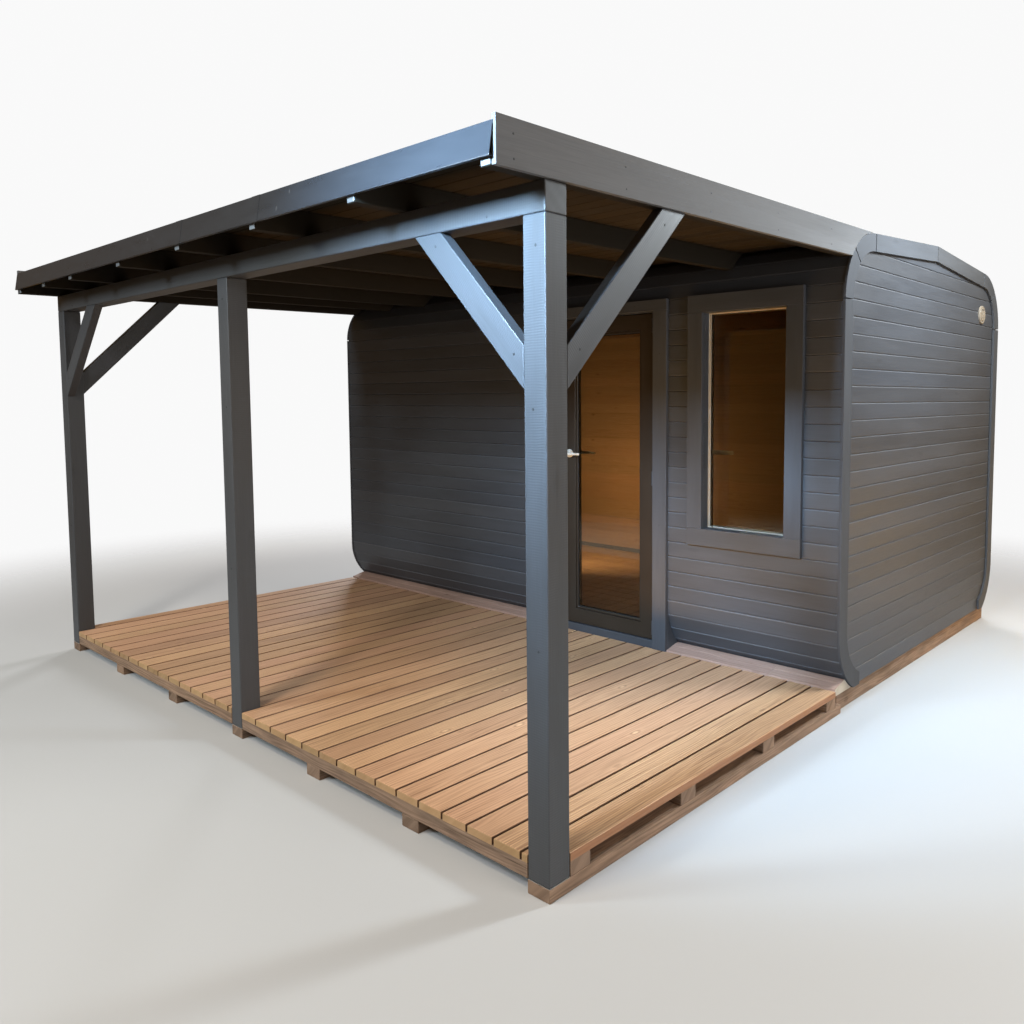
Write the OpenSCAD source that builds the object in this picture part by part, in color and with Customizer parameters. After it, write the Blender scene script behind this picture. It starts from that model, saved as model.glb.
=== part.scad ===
// Sauna cabin with four rounded wall corners and a covered timber terrace in front.
// Millimetres, +Z up. The origin is on the ground, at the middle of the overall footprint.

/* [Cabin shell] */
// Length of the cabin between the outer faces of its end walls
cabin_length = 4188; // [3800:1:4800]
// Depth of the cabin between the outer faces of its front and back walls
cabin_depth = 2529; // [2300:1:3000]
// Height of the shoulder, where a top corner arc would end level
shoulder_height = 2412; // [2380:1:2440]
// Radius of the rounded corners, on the outer face
corner_radius = 350; // [320:1:380]
// Pitch of the two cabin roof slopes in degrees
roof_pitch = 3.65; // [2:0.05:6]
// Height of the centre of the bottom corner arcs
bottom_arc_height = 411; // [390:1:430]
// Thickness of the walls and of the roof
wall_thickness = 45; // [35:1:55]
// Thickness of the cabin floor
floor_thickness = 45; // [30:1:60]
// Thickness of the felt on the cabin roof
felt_thickness = 4; // [2:0.5:6]
// Height of the felt's lower edge below the shoulder
felt_drop = 12; // [6:1:15]

/* [Cabin base] */
// Height of the base beams under the cabin
base_height = 100; // [90:1:120]
// Width of a base beam
base_beam_width = 98; // [80:1:120]
// Distance of the base beams behind the wall faces at the ends
base_end_inset = 19; // [5:1:30]
// Distance of the base behind the front and back wall faces
base_face_inset = 52; // [40:1:60]
// Number of base beams between the front and back pairs
base_mid_beams = 2; // [1:1:4]

/* [End trim] */
// Width of the trim boards round each end wall
trim_width = 95; // [75:1:120]
// Thickness of the trim boards
trim_thickness = 18; // [14:1:24]
// How far the trim stands out beyond the wall outline
trim_proud = 6; // [2:1:12]
// Open joint between two lengths of trim
trim_joint = 2; // [1:0.5:4]

/* [Terrace frame] */
// Depth of the terrace from the front of the posts to the cabin wall
terrace_depth = 2072; // [1800:1:2400]
// How far the corner posts stand out beyond the cabin's end walls
post_proud = 6; // [0:1:20]
// Side of a post and of the front beam
post_size = 95; // [80:1:115]
// Height of the front beam's underside above the spring of the top corner arcs
beam_rise = 72; // [58:1:88]
// Distance of the middle post to the right of the centre line
middle_post_offset = 69; // [-150:1:150]
// Thickness of the plate under each post
post_plate = 2; // [1:0.5:4]
// Width of a knee brace's face
brace_width = 97; // [80:1:110]
// Thickness of a knee brace
brace_thickness = 45; // [35:1:45]
// Distance from the beam's underside down to the foot of a brace
brace_drop = 525; // [400:1:650]

/* [Terrace deck] */
// Height of a skid
skid_height = 48; // [40:1:60]
// Width of a skid and of a deck joist
bearer_width = 98; // [80:1:110]
// Thickness of the deck boards
deck_thickness = 28; // [21:1:34]
// Gap between the end of the deck boards and the cabin's wall face
deck_wall_gap = 12; // [8:1:20]
// Thickness of the rim board between the posts
rim_thickness = 48; // [30:1:60]
// Skids between the middle skid and each outer one
skids_per_half = 2; // [1:1:3]
// Clearance round each post where the deck is notched
notch_clearance = 3; // [2:0.5:6]

/* [Terrace roof] */
// How far the roof reaches out in front of the posts
roof_overhang = 206; // [150:1:300]
// Pitch of the terrace roof in degrees, falling to the front
terrace_pitch = 1.13; // [0.8:0.01:1.4]
// Width of a rafter
rafter_width = 45; // [38:1:60]
// Depth of a rafter
rafter_depth = 98; // [88:1:105]
// Spacing of the rafters from the right-hand end
rafter_pitch = 657; // [500:1:690]
// Thickness of the roof boarding
boarding_thickness = 18; // [15:1:22]
// Thickness of the roof membrane
membrane_thickness = 4; // [2:0.5:6]
// Height of the side fascia boards
fascia_height = 140; // [128:1:150]
// Thickness of the metal of the drip flashing
flashing_gauge = 1.5; // [1:0.1:2]
// Height of the drip flashing's front
flashing_drop = 98; // [70:1:110]
// How far the front of the drip flashing leans out at its foot
flashing_lean = 17; // [13:1:30]
// How far the front of the drip flashing laps over the fascias' ends
flashing_lap = 8; // [0:1:14]
// Width of the drip flashing's top flange
flashing_flange = 100; // [60:1:150]
// Depth of the hem folded at the flashing's foot
flashing_hem = 12; // [8:1:16]

/* [Door] */
// Width of the door leaf
leaf_width = 690; // [600:1:790]
// Height of the door leaf's top above the spring of the top corner arcs
leaf_rise = 6; // [-34:1:11]
// Thickness of the door leaf
leaf_thickness = 54; // [45:1:60]
// Width of the leaf's stiles and rails
leaf_stile = 88; // [70:1:110]
// Distance of the leaf's hinge edge from the window opening
leaf_window_distance = 345; // [320:1:400]
// Height of the door sill above the base
sill_height = 72; // [60:1:74]
// Gap all round the leaf
leaf_gap = 6; // [5:0.5:8]
// Thickness of the door frame members
jamb_thickness = 44; // [35:1:48]
// Depth of the door frame
jamb_depth = 95; // [90:1:120]
// How far the frame's stop overlaps the leaf
stop_overlap = 10; // [6:1:14]
// Thickness of the glass of the door and of the window
glass_thickness = 20; // [10:1:28]
// Height of the handles above the leaf's foot
handle_height = 1067; // [900:1:1100]
// Length of a handle's grip
handle_length = 120; // [100:1:135]

/* [Window] */
// Width of the window opening
window_width = 500; // [400:1:540]
// Distance of the window opening from the outer face of the right end wall
window_end_distance = 288; // [250:1:330]
// Height of the window opening's foot above the spring of the bottom corner arcs
window_rise = 457; // [400:1:600]
// Distance of the window opening's top below the spring of the top corner arcs
window_drop = 14; // [4:1:30]
// Depth of the window frame inside the wall
window_frame_depth = 60; // [50:1:80]
// Width of the window frame members
window_frame_width = 45; // [35:1:60]

/* [Casings and small pieces] */
// Width of the casing boards round the door and the window
casing_width = 95; // [80:1:100]
// Thickness of the casing boards
casing_thickness = 24; // [18:1:28]
// Thickness of the cheeks beside the door
cheek_thickness = 22; // [16:1:28]
// Diameter of the round vent on the right end wall
vent_diameter = 120; // [90:1:150]
// Distance of the vent's middle in front of the back wall face
vent_back_distance = 351; // [300:1:600]
// Distance of the vent's middle below the shoulder
vent_drop = 270; // [252:1:500]

/* [Hidden] */
$fn = 96;
// Sides of the circles that cut the corner arcs, and steps along an arc of an end profile
arc_sides = 360;
arc_steps = 24;
// Small gap left where curved or jointed faces seat on each other
seat_gap = 0.3;
// Overrun of every cut
overrun = 10;

// Places along X
cabin_end = cabin_length / 2;
outer_end = cabin_end + trim_thickness;
terrace_end = cabin_end + post_proud;
inner_end = cabin_end - wall_thickness;

// Places along Y
front_reach = roof_overhang + flashing_lean;
total_depth = front_reach + terrace_depth + cabin_depth + trim_proud;
drip_y = -total_depth / 2;
post_y = drip_y + front_reach;
roof_front_y = post_y - roof_overhang;
wall_y = post_y + terrace_depth;
back_y = wall_y + cabin_depth;
ridge_y = (wall_y + back_y) / 2;
front_arc_y = wall_y + corner_radius;
back_arc_y = back_y - corner_radius;
deck_end_y = wall_y - deck_wall_gap;
base_front_y = wall_y + base_face_inset;
base_back_y = back_y - base_face_inset;

// Places along Z
top_arc_z = shoulder_height - corner_radius;
half_span = cabin_depth / 2 - corner_radius;
beam_underside = top_arc_z + beam_rise;
beam_top = beam_underside + post_size;
deck_underside = base_height;
deck_top = deck_underside + deck_thickness;
floor_top = base_height + floor_thickness;
felt_foot = shoulder_height - felt_drop;

// The foot of each curved corner ends in an upright face this far inside the wall face
foot_reach_share = 0.72;
foot_reach = corner_radius * foot_reach_share;
foot_front_y = wall_y + foot_reach;
foot_back_y = back_y - foot_reach;

// Terrace roof layers, measured upwards from the underside of the rafters
boarding_low = rafter_depth;
membrane_low = boarding_low + boarding_thickness;
membrane_top = membrane_low + membrane_thickness;

// Window
window_right = cabin_end - window_end_distance;
window_left = window_right - window_width;
window_top = top_arc_z - window_drop;
window_foot = bottom_arc_height + window_rise;
window_height = window_top - window_foot;

// Door
leaf_right = window_left - leaf_window_distance;
leaf_left = leaf_right - leaf_width;
sill_top = base_height + sill_height;
leaf_foot = sill_top + leaf_gap;
leaf_top = top_arc_z + leaf_rise;
leaf_height = leaf_top - leaf_foot;
leaf_back_y = wall_y + leaf_thickness;
jamb_inner_right = leaf_right + leaf_gap;
jamb_inner_left = leaf_left - leaf_gap;
jamb_outer_right = jamb_inner_right + jamb_thickness;
jamb_outer_left = jamb_inner_left - jamb_thickness;
jamb_back_y = wall_y + jamb_depth;
head_foot = leaf_top + leaf_gap;
head_top = head_foot + jamb_thickness;
stop_y = leaf_back_y + leaf_gap;
stop_reach = leaf_gap + stop_overlap;
leaf_glass_y = wall_y + (leaf_thickness - glass_thickness) / 2;

// Hinges
hinge_radius = 7;
hinge_pin_radius = 4;
hinge_bore_radius = 4.05;
hinge_stand_off = 8;
hinge_knuckle = 40;
hinge_knuckle_gap = 0.5;
hinge_plate = 2;
hinge_plate_reach = 36;
hinge_edge_distance = 70;
hinge_x = leaf_right + leaf_gap / 2;
hinge_y = wall_y - hinge_stand_off;
hinge_heights = [
    leaf_foot + hinge_edge_distance,
    leaf_foot + leaf_height / 2,
    leaf_top - hinge_edge_distance
];

// Handles of the door and the window
rose_radius = 26;
rose_thickness = 8;
spindle_radius = 9;
spindle_reach = 46;
grip_radius = 9;
handle_x = leaf_left + leaf_stile / 2;
handle_z = leaf_foot + handle_height;
window_grip_radius = 8;
window_handle_share = 0.35;
window_rose = [26, 9, 62];

// Casings
casing_y = wall_y - casing_thickness;
casing_clear = hinge_radius + leaf_gap;
door_casing_right = leaf_right + casing_clear;
door_casing_left = leaf_left - casing_clear;
door_casing_foot = leaf_top + casing_clear;
door_casing_end_right = door_casing_right + casing_width;
door_casing_end_left = door_casing_left - casing_width;
casing_top = window_top + casing_width;
cheek_top_share = 0.1;
cheek_top = bottom_arc_height - corner_radius * cheek_top_share;

// Foot board: heights above the base of its front edge and of its crest
foot_board_front = 36;
foot_board_crest = 58;
foot_board_rise = 98;

// Vent
vent_plate = 8;
vent_cap_share = 0.62;
vent_cap = 9;

// Underside of the terrace rafters at a depth y
function rafter_z(y) = beam_top + (y - post_y) * tan(terrace_pitch);

// Height of the outer roof face of the cabin at the ridge, moved inwards by inset
function ridge_z(inset) = top_arc_z + (corner_radius - inset) / cos(roof_pitch) + half_span * tan(roof_pitch);

// Point where a roof slope seats on the end of the corner arc; side is -1 at the front and 1 at the back
function slope_start(side, inset) = [
    (side < 0 ? front_arc_y : back_arc_y)
        + side * ((corner_radius - inset) * sin(roof_pitch) - seat_gap * cos(roof_pitch)),
    top_arc_z + (corner_radius - inset) * cos(roof_pitch) + seat_gap * sin(roof_pitch)
];

// A box between two corners
module block(low, high) {
    translate(low) cube(high - low);
}

// A flat YZ shape, pulled from x = low to x = high
module along_x(low, high) {
    translate([low, 0, 0]) rotate([90, 0, 90]) linear_extrude(high - low) children();
}

// Points along an arc of the end profile, between two angles
function arc(centre, radius, from, to) = [
    for (i = [0 : arc_steps])
        let (angle = from + (to - from) * i / arc_steps)
        centre + radius * [cos(angle), sin(angle)]
];

// Points of the cabin's end profile in YZ, moved inwards by inset; turn is how far the bottom arcs go under
function end_outline(inset, turn) =
    let (radius = corner_radius - inset)
    concat(
        arc([front_arc_y, bottom_arc_height], radius, 180 + turn, 180),
        arc([front_arc_y, top_arc_z], radius, 180, 90 + roof_pitch),
        [[ridge_y, ridge_z(inset)]],
        arc([back_arc_y, top_arc_z], radius, 90 - roof_pitch, 0),
        arc([back_arc_y, bottom_arc_height], radius, 0, -turn)
    );

// The whole end profile, with its bottom arcs turned under to a level underside
module end_profile(inset) {
    polygon(end_outline(inset, 90));
}

// Ring between two offsets of a corner arc, in YZ
module corner_ring(y, z, outer_inset, inner_inset) {
    translate([y, z]) difference() {
        circle(corner_radius - outer_inset, $fn = arc_sides);
        circle(corner_radius - inner_inset, $fn = arc_sides);
    }
}

// The quadrant of a top corner between the wall's top and the start of the roof slope
module top_corner_profile(side) {
    arc_y = side < 0 ? front_arc_y : back_arc_y;
    reach = corner_radius * 2;
    intersection() {
        corner_ring(arc_y, top_arc_z, 0, wall_thickness);
        polygon([
            [arc_y, top_arc_z],
            [arc_y + side * reach, top_arc_z],
            [arc_y + side * reach, top_arc_z + reach],
            [arc_y + side * reach * sin(roof_pitch), top_arc_z + reach * cos(roof_pitch)]
        ]);
    }
}

// The curved foot of the front or back wall, cut off level where it sits on the base
module foot_profile(side) {
    arc_y = side < 0 ? front_arc_y : back_arc_y;
    face_y = side < 0 ? wall_y : back_y;
    inside_y = side < 0 ? foot_front_y : foot_back_y;
    intersection() {
        corner_ring(arc_y, bottom_arc_height, 0, wall_thickness);
        polygon([
            [face_y, base_height], [inside_y, base_height],
            [inside_y, bottom_arc_height], [face_y, bottom_arc_height]
        ]);
    }
}

// One roof slope of the cabin, from the corner arc to the ridge
module slope_profile(side) {
    polygon([
        slope_start(side, 0), [ridge_y, ridge_z(0)],
        [ridge_y, ridge_z(wall_thickness)], slope_start(side, wall_thickness)
    ]);
}

// A layer of the terrace roof in YZ, scribed to the cabin's front top corner
module roof_layer(low, high, clearance) {
    difference() {
        polygon([
            [roof_front_y, rafter_z(roof_front_y) + low],
            [front_arc_y, rafter_z(front_arc_y) + low],
            [front_arc_y, rafter_z(front_arc_y) + high],
            [roof_front_y, rafter_z(roof_front_y) + high]
        ]);
        translate([front_arc_y, top_arc_z]) circle(corner_radius + clearance, $fn = arc_sides);
    }
}

// Middles of the skids across the terrace
outer_skid_x = terrace_end - bearer_width / 2;
skid_places = concat(
    [for (i = [0 : skids_per_half])
        -outer_skid_x + (middle_post_offset + outer_skid_x) * i / (skids_per_half + 1)],
    [for (i = [0 : skids_per_half + 1])
        middle_post_offset + (outer_skid_x - middle_post_offset) * i / (skids_per_half + 1)]
);

module deck_skids() {
    color("saddlebrown")
    for (x = skid_places)
        block([x - bearer_width / 2, post_y, 0], [x + bearer_width / 2, base_front_y, skid_height]);
}

// The joists lie across the skids, the first one close behind the posts
first_joist_y = post_y + post_size + notch_clearance;
joist_count = 4;
last_joist_y = deck_end_y - bearer_width;
joist_step = (last_joist_y - first_joist_y) / (joist_count - 1);

module deck_joists() {
    color("saddlebrown")
    for (i = [0 : joist_count - 1])
        let (y = first_joist_y + i * joist_step)
        block([-terrace_end, y, skid_height], [terrace_end, y + bearer_width, deck_underside]);
}

post_places = [-terrace_end + post_size / 2, middle_post_offset, terrace_end - post_size / 2];

module deck_rim() {
    color("saddlebrown")
    for (i = [0 : 1])
        block(
            [post_places[i] + post_size / 2 + notch_clearance, post_y, skid_height],
            [post_places[i + 1] - post_size / 2 - notch_clearance, post_y + rim_thickness, deck_underside]
        );
}

// The deck boards as one layer, notched round the posts
module deck_boards() {
    color("peru")
    difference() {
        block([-terrace_end, post_y, deck_underside], [terrace_end, deck_end_y, deck_top]);
        for (x = post_places)
            block(
                [x - post_size / 2 - notch_clearance, post_y - overrun, deck_underside - overrun],
                [x + post_size / 2 + notch_clearance, post_y + post_size + notch_clearance, deck_top + overrun]
            );
    }
}

module post_plates() {
    color("silver")
    for (x = post_places)
        block(
            [x - post_size / 2, post_y, skid_height],
            [x + post_size / 2, post_y + post_size, skid_height + post_plate]
        );
}

module posts() {
    color("dimgray")
    for (x = post_places)
        block(
            [x - post_size / 2, post_y, skid_height + post_plate],
            [x + post_size / 2, post_y + post_size, beam_underside]
        );
}

module front_beam() {
    color("dimgray")
    block([-terrace_end, post_y, beam_underside], [terrace_end, post_y + post_size, beam_top]);
}

// Height of a brace's cut face where it meets a post or a beam
brace_cut = brace_width * sqrt(2);
brace_foot = beam_underside - brace_drop;

// A 45 degree brace from a post face at distance 0 up to a sloping underside
module brace_profile(rise, pitch) {
    top = beam_underside + rise;
    lower_reach = (top - brace_foot) / (1 - tan(pitch));
    upper_reach = (top - brace_foot - brace_cut) / (1 - tan(pitch));
    polygon([
        [0, brace_foot], [lower_reach, top + lower_reach * tan(pitch)],
        [upper_reach, top + upper_reach * tan(pitch)], [0, brace_foot + brace_cut]
    ]);
}

module knee_braces() {
    color("dimgray")
    for (side = [-1, 1]) {
        translate([side * (terrace_end - post_size), post_y, 0])
            mirror([side > 0 ? 1 : 0, 0, 0])
            translate([0, brace_thickness, 0]) rotate([90, 0, 0])
            linear_extrude(brace_thickness) brace_profile(0, 0);
        low = side > 0 ? terrace_end - brace_thickness : -terrace_end;
        translate([low, post_y + post_size, 0]) rotate([90, 0, 90])
            linear_extrude(brace_thickness)
            brace_profile(rafter_z(post_y + post_size) - beam_underside - seat_gap, terrace_pitch);
    }
}

// Rafters stand at an even pitch from the right, and the rest is shared by two bays on the left
end_rafter_x = cabin_end - rafter_width / 2;
even_bays = 5;
closing_bays = 2;
closing_pitch = (2 * end_rafter_x - even_bays * rafter_pitch) / closing_bays;
rafter_places = concat(
    [for (i = [0 : even_bays]) end_rafter_x - i * rafter_pitch],
    [for (i = [1 : closing_bays]) end_rafter_x - even_bays * rafter_pitch - i * closing_pitch]
);

module rafters() {
    color("dimgray")
    for (x = rafter_places)
        along_x(x - rafter_width / 2, x + rafter_width / 2) roof_layer(0, rafter_depth, seat_gap);
}

module roof_boarding() {
    color("dimgray")
    along_x(-cabin_end, cabin_end) roof_layer(boarding_low, membrane_low, seat_gap);
}

module roof_membrane() {
    color("black")
    along_x(-cabin_end, cabin_end) roof_layer(membrane_low, membrane_top, felt_thickness + seat_gap);
}

module fascia(low, high) {
    color("dimgray")
    along_x(low, high) roof_layer(0, fascia_height, trim_proud + seat_gap);
}

module fascia_left() {
    fascia(-outer_end, -cabin_end);
}

module fascia_right() {
    fascia(cabin_end, outer_end);
}

// Folded sheet: a flange on the membrane, a leaning front that laps the fascias, and a hem at its foot
module drip_flashing() {
    flange_y = roof_front_y + flashing_flange;
    top_z = rafter_z(roof_front_y) + membrane_top + seat_gap;
    flange_z = rafter_z(flange_y) + membrane_top + seat_gap;
    foot_z = top_z - flashing_drop;
    hem_y = drip_y + flashing_hem;
    lap_end = cabin_end + flashing_lap;
    color("darkslategray")
    union() {
        along_x(-cabin_end, cabin_end)
            polygon([
                [flange_y, flange_z], [flange_y, flange_z + flashing_gauge],
                [roof_front_y, top_z + flashing_gauge], [roof_front_y, top_z]
            ]);
        along_x(-lap_end, lap_end)
            polygon([
                [roof_front_y, top_z + flashing_gauge], [roof_front_y - flashing_gauge, top_z + flashing_gauge],
                [drip_y, foot_z], [hem_y, foot_z],
                [hem_y, foot_z + flashing_gauge], [drip_y + flashing_gauge, foot_z + flashing_gauge],
                [roof_front_y, top_z]
            ]);
    }
}

module base_side_beams() {
    beam_end = cabin_end - base_end_inset;
    color("saddlebrown")
    for (low = [-beam_end, beam_end - base_beam_width])
        block([low, base_front_y, 0], [low + base_beam_width, base_back_y, base_height]);
}

// Cross beams: one at each face, one under each wall foot, and some in between
seat_beam_front = foot_front_y - base_beam_width;
seat_beam_back = foot_back_y;
mid_beam_step = (seat_beam_back - seat_beam_front) / (base_mid_beams + 1);
cross_beam_places = concat(
    [base_front_y],
    [for (i = [0 : base_mid_beams + 1]) seat_beam_front + i * mid_beam_step],
    [base_back_y - base_beam_width]
);

module base_cross_beams() {
    reach = cabin_end - base_end_inset - base_beam_width;
    color("saddlebrown")
    for (y = cross_beam_places)
        block([-reach, y, 0], [reach, y + base_beam_width, base_height]);
}

// The floor runs out to the sill in the doorway
module cabin_floor() {
    color("burlywood")
    union() {
        block([-inner_end, foot_front_y, base_height], [inner_end, foot_back_y, floor_top]);
        block([jamb_outer_left, jamb_back_y, base_height], [jamb_outer_right, foot_front_y + overrun, floor_top]);
    }
}

// Front wall left of the door, between the door and the window, and right of the window
module front_wall() {
    color("dimgray")
    for (span = [[-cabin_end, jamb_outer_left], [jamb_outer_right, window_left], [window_right, cabin_end]])
        block([span[0], wall_y, bottom_arc_height], [span[1], wall_y + wall_thickness, top_arc_z]);
}

// Wall under and over the window
module window_panels() {
    color("dimgray")
    for (span = [[bottom_arc_height, window_foot], [window_top, top_arc_z]])
        block([window_left, wall_y, span[0]], [window_right, wall_y + wall_thickness, span[1]]);
}

module front_foot() {
    color("dimgray")
    for (span = [[-cabin_end, jamb_outer_left], [jamb_outer_right, cabin_end]])
        along_x(span[0], span[1]) foot_profile(-1);
}

// The door frame's head is let into the front top corner
module front_top_corner() {
    color("dimgray")
    difference() {
        along_x(-cabin_end, cabin_end) top_corner_profile(-1);
        block(
            [jamb_outer_left, wall_y - overrun, top_arc_z - overrun],
            [jamb_outer_right, jamb_back_y, head_top]
        );
    }
}

module back_wall() {
    color("dimgray")
    block([-cabin_end, back_y - wall_thickness, bottom_arc_height], [cabin_end, back_y, top_arc_z]);
}

module back_foot() {
    color("dimgray")
    along_x(-cabin_end, cabin_end) foot_profile(1);
}

module back_top_corner() {
    color("dimgray")
    along_x(-cabin_end, cabin_end) top_corner_profile(1);
}

module roof_front_slope() {
    color("dimgray")
    along_x(-cabin_end, cabin_end) slope_profile(-1);
}

module roof_back_slope() {
    color("dimgray")
    along_x(-cabin_end, cabin_end) slope_profile(1);
}

// Felt over both slopes, turned down a little way over the top corners
module roof_felt() {
    color("black")
    along_x(-cabin_end, cabin_end)
        intersection() {
            difference() {
                end_profile(-felt_thickness);
                end_profile(-seat_gap);
            }
            translate([wall_y, felt_foot]) square([cabin_depth, corner_radius]);
        }
}

// An end wall fills the shell and stands on the base
module end_wall_profile() {
    inset = wall_thickness + seat_gap;
    foot_y = foot_front_y + seat_gap;
    turn = acos((front_arc_y - foot_y) / (corner_radius - inset));
    polygon(concat(
        [[foot_y, base_height]], end_outline(inset, turn), [[foot_back_y - seat_gap, base_height]]
    ));
}

module end_wall_left() {
    color("dimgray")
    along_x(-cabin_end, -inner_end) end_wall_profile();
}

module end_wall_right() {
    color("dimgray")
    along_x(inner_end, cabin_end) end_wall_profile();
}

// Trim boards follow the end profile, with open joints at the arcs' ends, their middles and the ridge
module end_trim_profile() {
    reach = corner_radius * 2;
    difference() {
        end_profile(-trim_proud);
        end_profile(trim_width - trim_proud);
        translate([foot_front_y, -reach])
            square([foot_back_y - foot_front_y, bottom_arc_height + reach]);
        translate([wall_y - reach, -reach])
            square([cabin_depth + 2 * reach, base_height + reach]);
        translate([wall_y - reach, top_arc_z - trim_joint / 2])
            square([cabin_depth + 2 * reach, trim_joint]);
        for (arc = [[front_arc_y, 135], [back_arc_y, 45], [front_arc_y, 90], [back_arc_y, 90]])
            translate([arc[0], top_arc_z]) rotate(arc[1])
                translate([0, -trim_joint / 2]) square([reach, trim_joint]);
        translate([ridge_y - trim_joint / 2, top_arc_z]) square([trim_joint, reach]);
    }
}

module end_trim_left() {
    color("dimgray")
    along_x(-outer_end, -cabin_end) end_trim_profile();
}

module end_trim_right() {
    color("dimgray")
    along_x(cabin_end, outer_end) end_trim_profile();
}

// Wedge board that closes the step between the deck and the curved wall, on both sides of the door
module foot_board() {
    front_y = deck_end_y + notch_clearance;
    color("rosybrown")
    for (span = [[-cabin_end, door_casing_end_left - seat_gap], [door_casing_end_right + seat_gap, cabin_end]])
        along_x(span[0], span[1])
            difference() {
                polygon([
                    [front_y, base_height], [front_y, base_height + foot_board_front],
                    [front_y + foot_board_rise, base_height + foot_board_crest],
                    [foot_front_y, base_height + foot_board_crest], [foot_front_y, base_height]
                ]);
                translate([front_arc_y, bottom_arc_height]) circle(corner_radius + seat_gap, $fn = arc_sides);
            }
}

// Rebated jambs with a head between them
module door_frame() {
    color("dimgray") {
        for (side = [-1, 1]) {
            inner = side < 0 ? jamb_inner_left : jamb_inner_right;
            outer = side < 0 ? jamb_outer_left : jamb_outer_right;
            stop = inner - side * stop_reach;
            union() {
                block([min(inner, outer), wall_y, base_height], [max(inner, outer), jamb_back_y, head_top]);
                block(
                    [min(stop, outer), stop_y, sill_top + seat_gap],
                    [max(stop, outer), jamb_back_y, head_foot - stop_reach - seat_gap]
                );
            }
        }
        union() {
            block(
                [jamb_inner_left + seat_gap, wall_y, head_foot],
                [jamb_inner_right - seat_gap, jamb_back_y, head_top]
            );
            block(
                [jamb_inner_left + seat_gap, stop_y, head_foot - stop_reach],
                [jamb_inner_right - seat_gap, jamb_back_y, head_top]
            );
        }
    }
}

module door_sill() {
    color("dimgray")
    block(
        [jamb_inner_left + seat_gap, deck_end_y + notch_clearance, base_height],
        [jamb_inner_right - seat_gap, jamb_back_y, sill_top]
    );
}

// Two uprights standing on the deck and a head board across them
module door_casing() {
    color("dimgray") {
        for (low = [door_casing_end_left, door_casing_right])
            block([low, casing_y, deck_top], [low + casing_width, wall_y, door_casing_foot - seat_gap]);
        block(
            [door_casing_end_left, casing_y, door_casing_foot],
            [door_casing_end_right, wall_y, casing_top]
        );
    }
}

// Cheeks that close the sides of the door casing down to the curved foot of the wall
module door_cheeks() {
    color("dimgray")
    for (low = [door_casing_end_left, door_casing_end_right - cheek_thickness])
        along_x(low, low + cheek_thickness)
            difference() {
                polygon([
                    [wall_y, base_height], [wall_y, cheek_top],
                    [foot_front_y, cheek_top], [foot_front_y, base_height]
                ]);
                translate([front_arc_y, bottom_arc_height]) circle(corner_radius + seat_gap, $fn = arc_sides);
            }
}

module door_leaf() {
    color("#3a2c24")
    difference() {
        block([leaf_left, wall_y, leaf_foot], [leaf_right, leaf_back_y, leaf_top]);
        block(
            [leaf_left + leaf_stile, wall_y - overrun, leaf_foot + leaf_stile],
            [leaf_right - leaf_stile, leaf_back_y + overrun, leaf_top - leaf_stile]
        );
    }
}

module door_glass() {
    edge = leaf_stile + seat_gap;
    color("tan", 0.4)
    block(
        [leaf_left + edge, leaf_glass_y, leaf_foot + edge],
        [leaf_right - edge, leaf_glass_y + glass_thickness, leaf_top - edge]
    );
}

// A lever handle: a round rose on the leaf, a spindle and a straight grip, standing out along -Y
module lever_handle() {
    rotate([90, 0, 0]) {
        cylinder(r = rose_radius, h = rose_thickness);
        cylinder(r = spindle_radius, h = spindle_reach);
    }
    translate([0, -spindle_reach, 0]) {
        rotate([0, 90, 0]) cylinder(r = grip_radius, h = handle_length);
        sphere(r = grip_radius);
    }
}

module door_handles() {
    color("gainsboro") {
        translate([handle_x, wall_y, handle_z]) lever_handle();
        translate([handle_x, leaf_back_y, handle_z]) mirror([0, 1, 0]) lever_handle();
    }
}

// Lower knuckles with their pins, fixed to the jamb
module hinge_frame_halves() {
    color("silver")
    for (z = hinge_heights)
        union() {
            translate([hinge_x, hinge_y, z - hinge_knuckle]) cylinder(r = hinge_radius, h = hinge_knuckle);
            translate([hinge_x, hinge_y, z - hinge_knuckle])
                cylinder(r = hinge_pin_radius, h = 2 * hinge_knuckle + hinge_knuckle_gap);
            block(
                [jamb_inner_right - hinge_plate, hinge_y, z - hinge_knuckle],
                [jamb_inner_right, hinge_y + hinge_plate_reach, z]
            );
        }
}

// Upper knuckles, bored for the pins and fixed to the edge of the leaf
module hinge_leaf_halves() {
    color("silver")
    for (z = hinge_heights)
        let (low = z + hinge_knuckle_gap)
        difference() {
            union() {
                translate([hinge_x, hinge_y, low]) cylinder(r = hinge_radius, h = hinge_knuckle);
                block(
                    [leaf_right, hinge_y, low],
                    [leaf_right + hinge_plate, hinge_y + hinge_plate_reach, low + hinge_knuckle]
                );
            }
            translate([hinge_x, hinge_y, low - overrun])
                cylinder(r = hinge_bore_radius, h = hinge_knuckle + 2 * overrun);
        }
}

// Four boards round the window, the uprights between the head and foot boards
module window_casing() {
    low = window_left - casing_width;
    high = window_right + casing_width;
    color("dimgray") {
        for (x = [low, window_right])
            block([x, casing_y, window_foot + seat_gap], [x + casing_width, wall_y, window_top - seat_gap]);
        for (z = [window_foot - casing_width, window_top])
            block([low, casing_y, z], [high, wall_y, z + casing_width]);
    }
}

// Unpainted frame behind the wall, flush with the opening
module window_frame() {
    front = wall_y + wall_thickness;
    back = front + window_frame_depth;
    low = window_left - window_frame_width;
    high = window_right + window_frame_width;
    color("burlywood") {
        for (x = [low, window_right])
            block(
                [x, front, window_foot + seat_gap],
                [x + window_frame_width, back, window_top - seat_gap]
            );
        block([low, front, window_foot - window_frame_width], [high, back, window_foot]);
        block([low, front, window_top], [high, back, top_arc_z]);
    }
}

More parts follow.
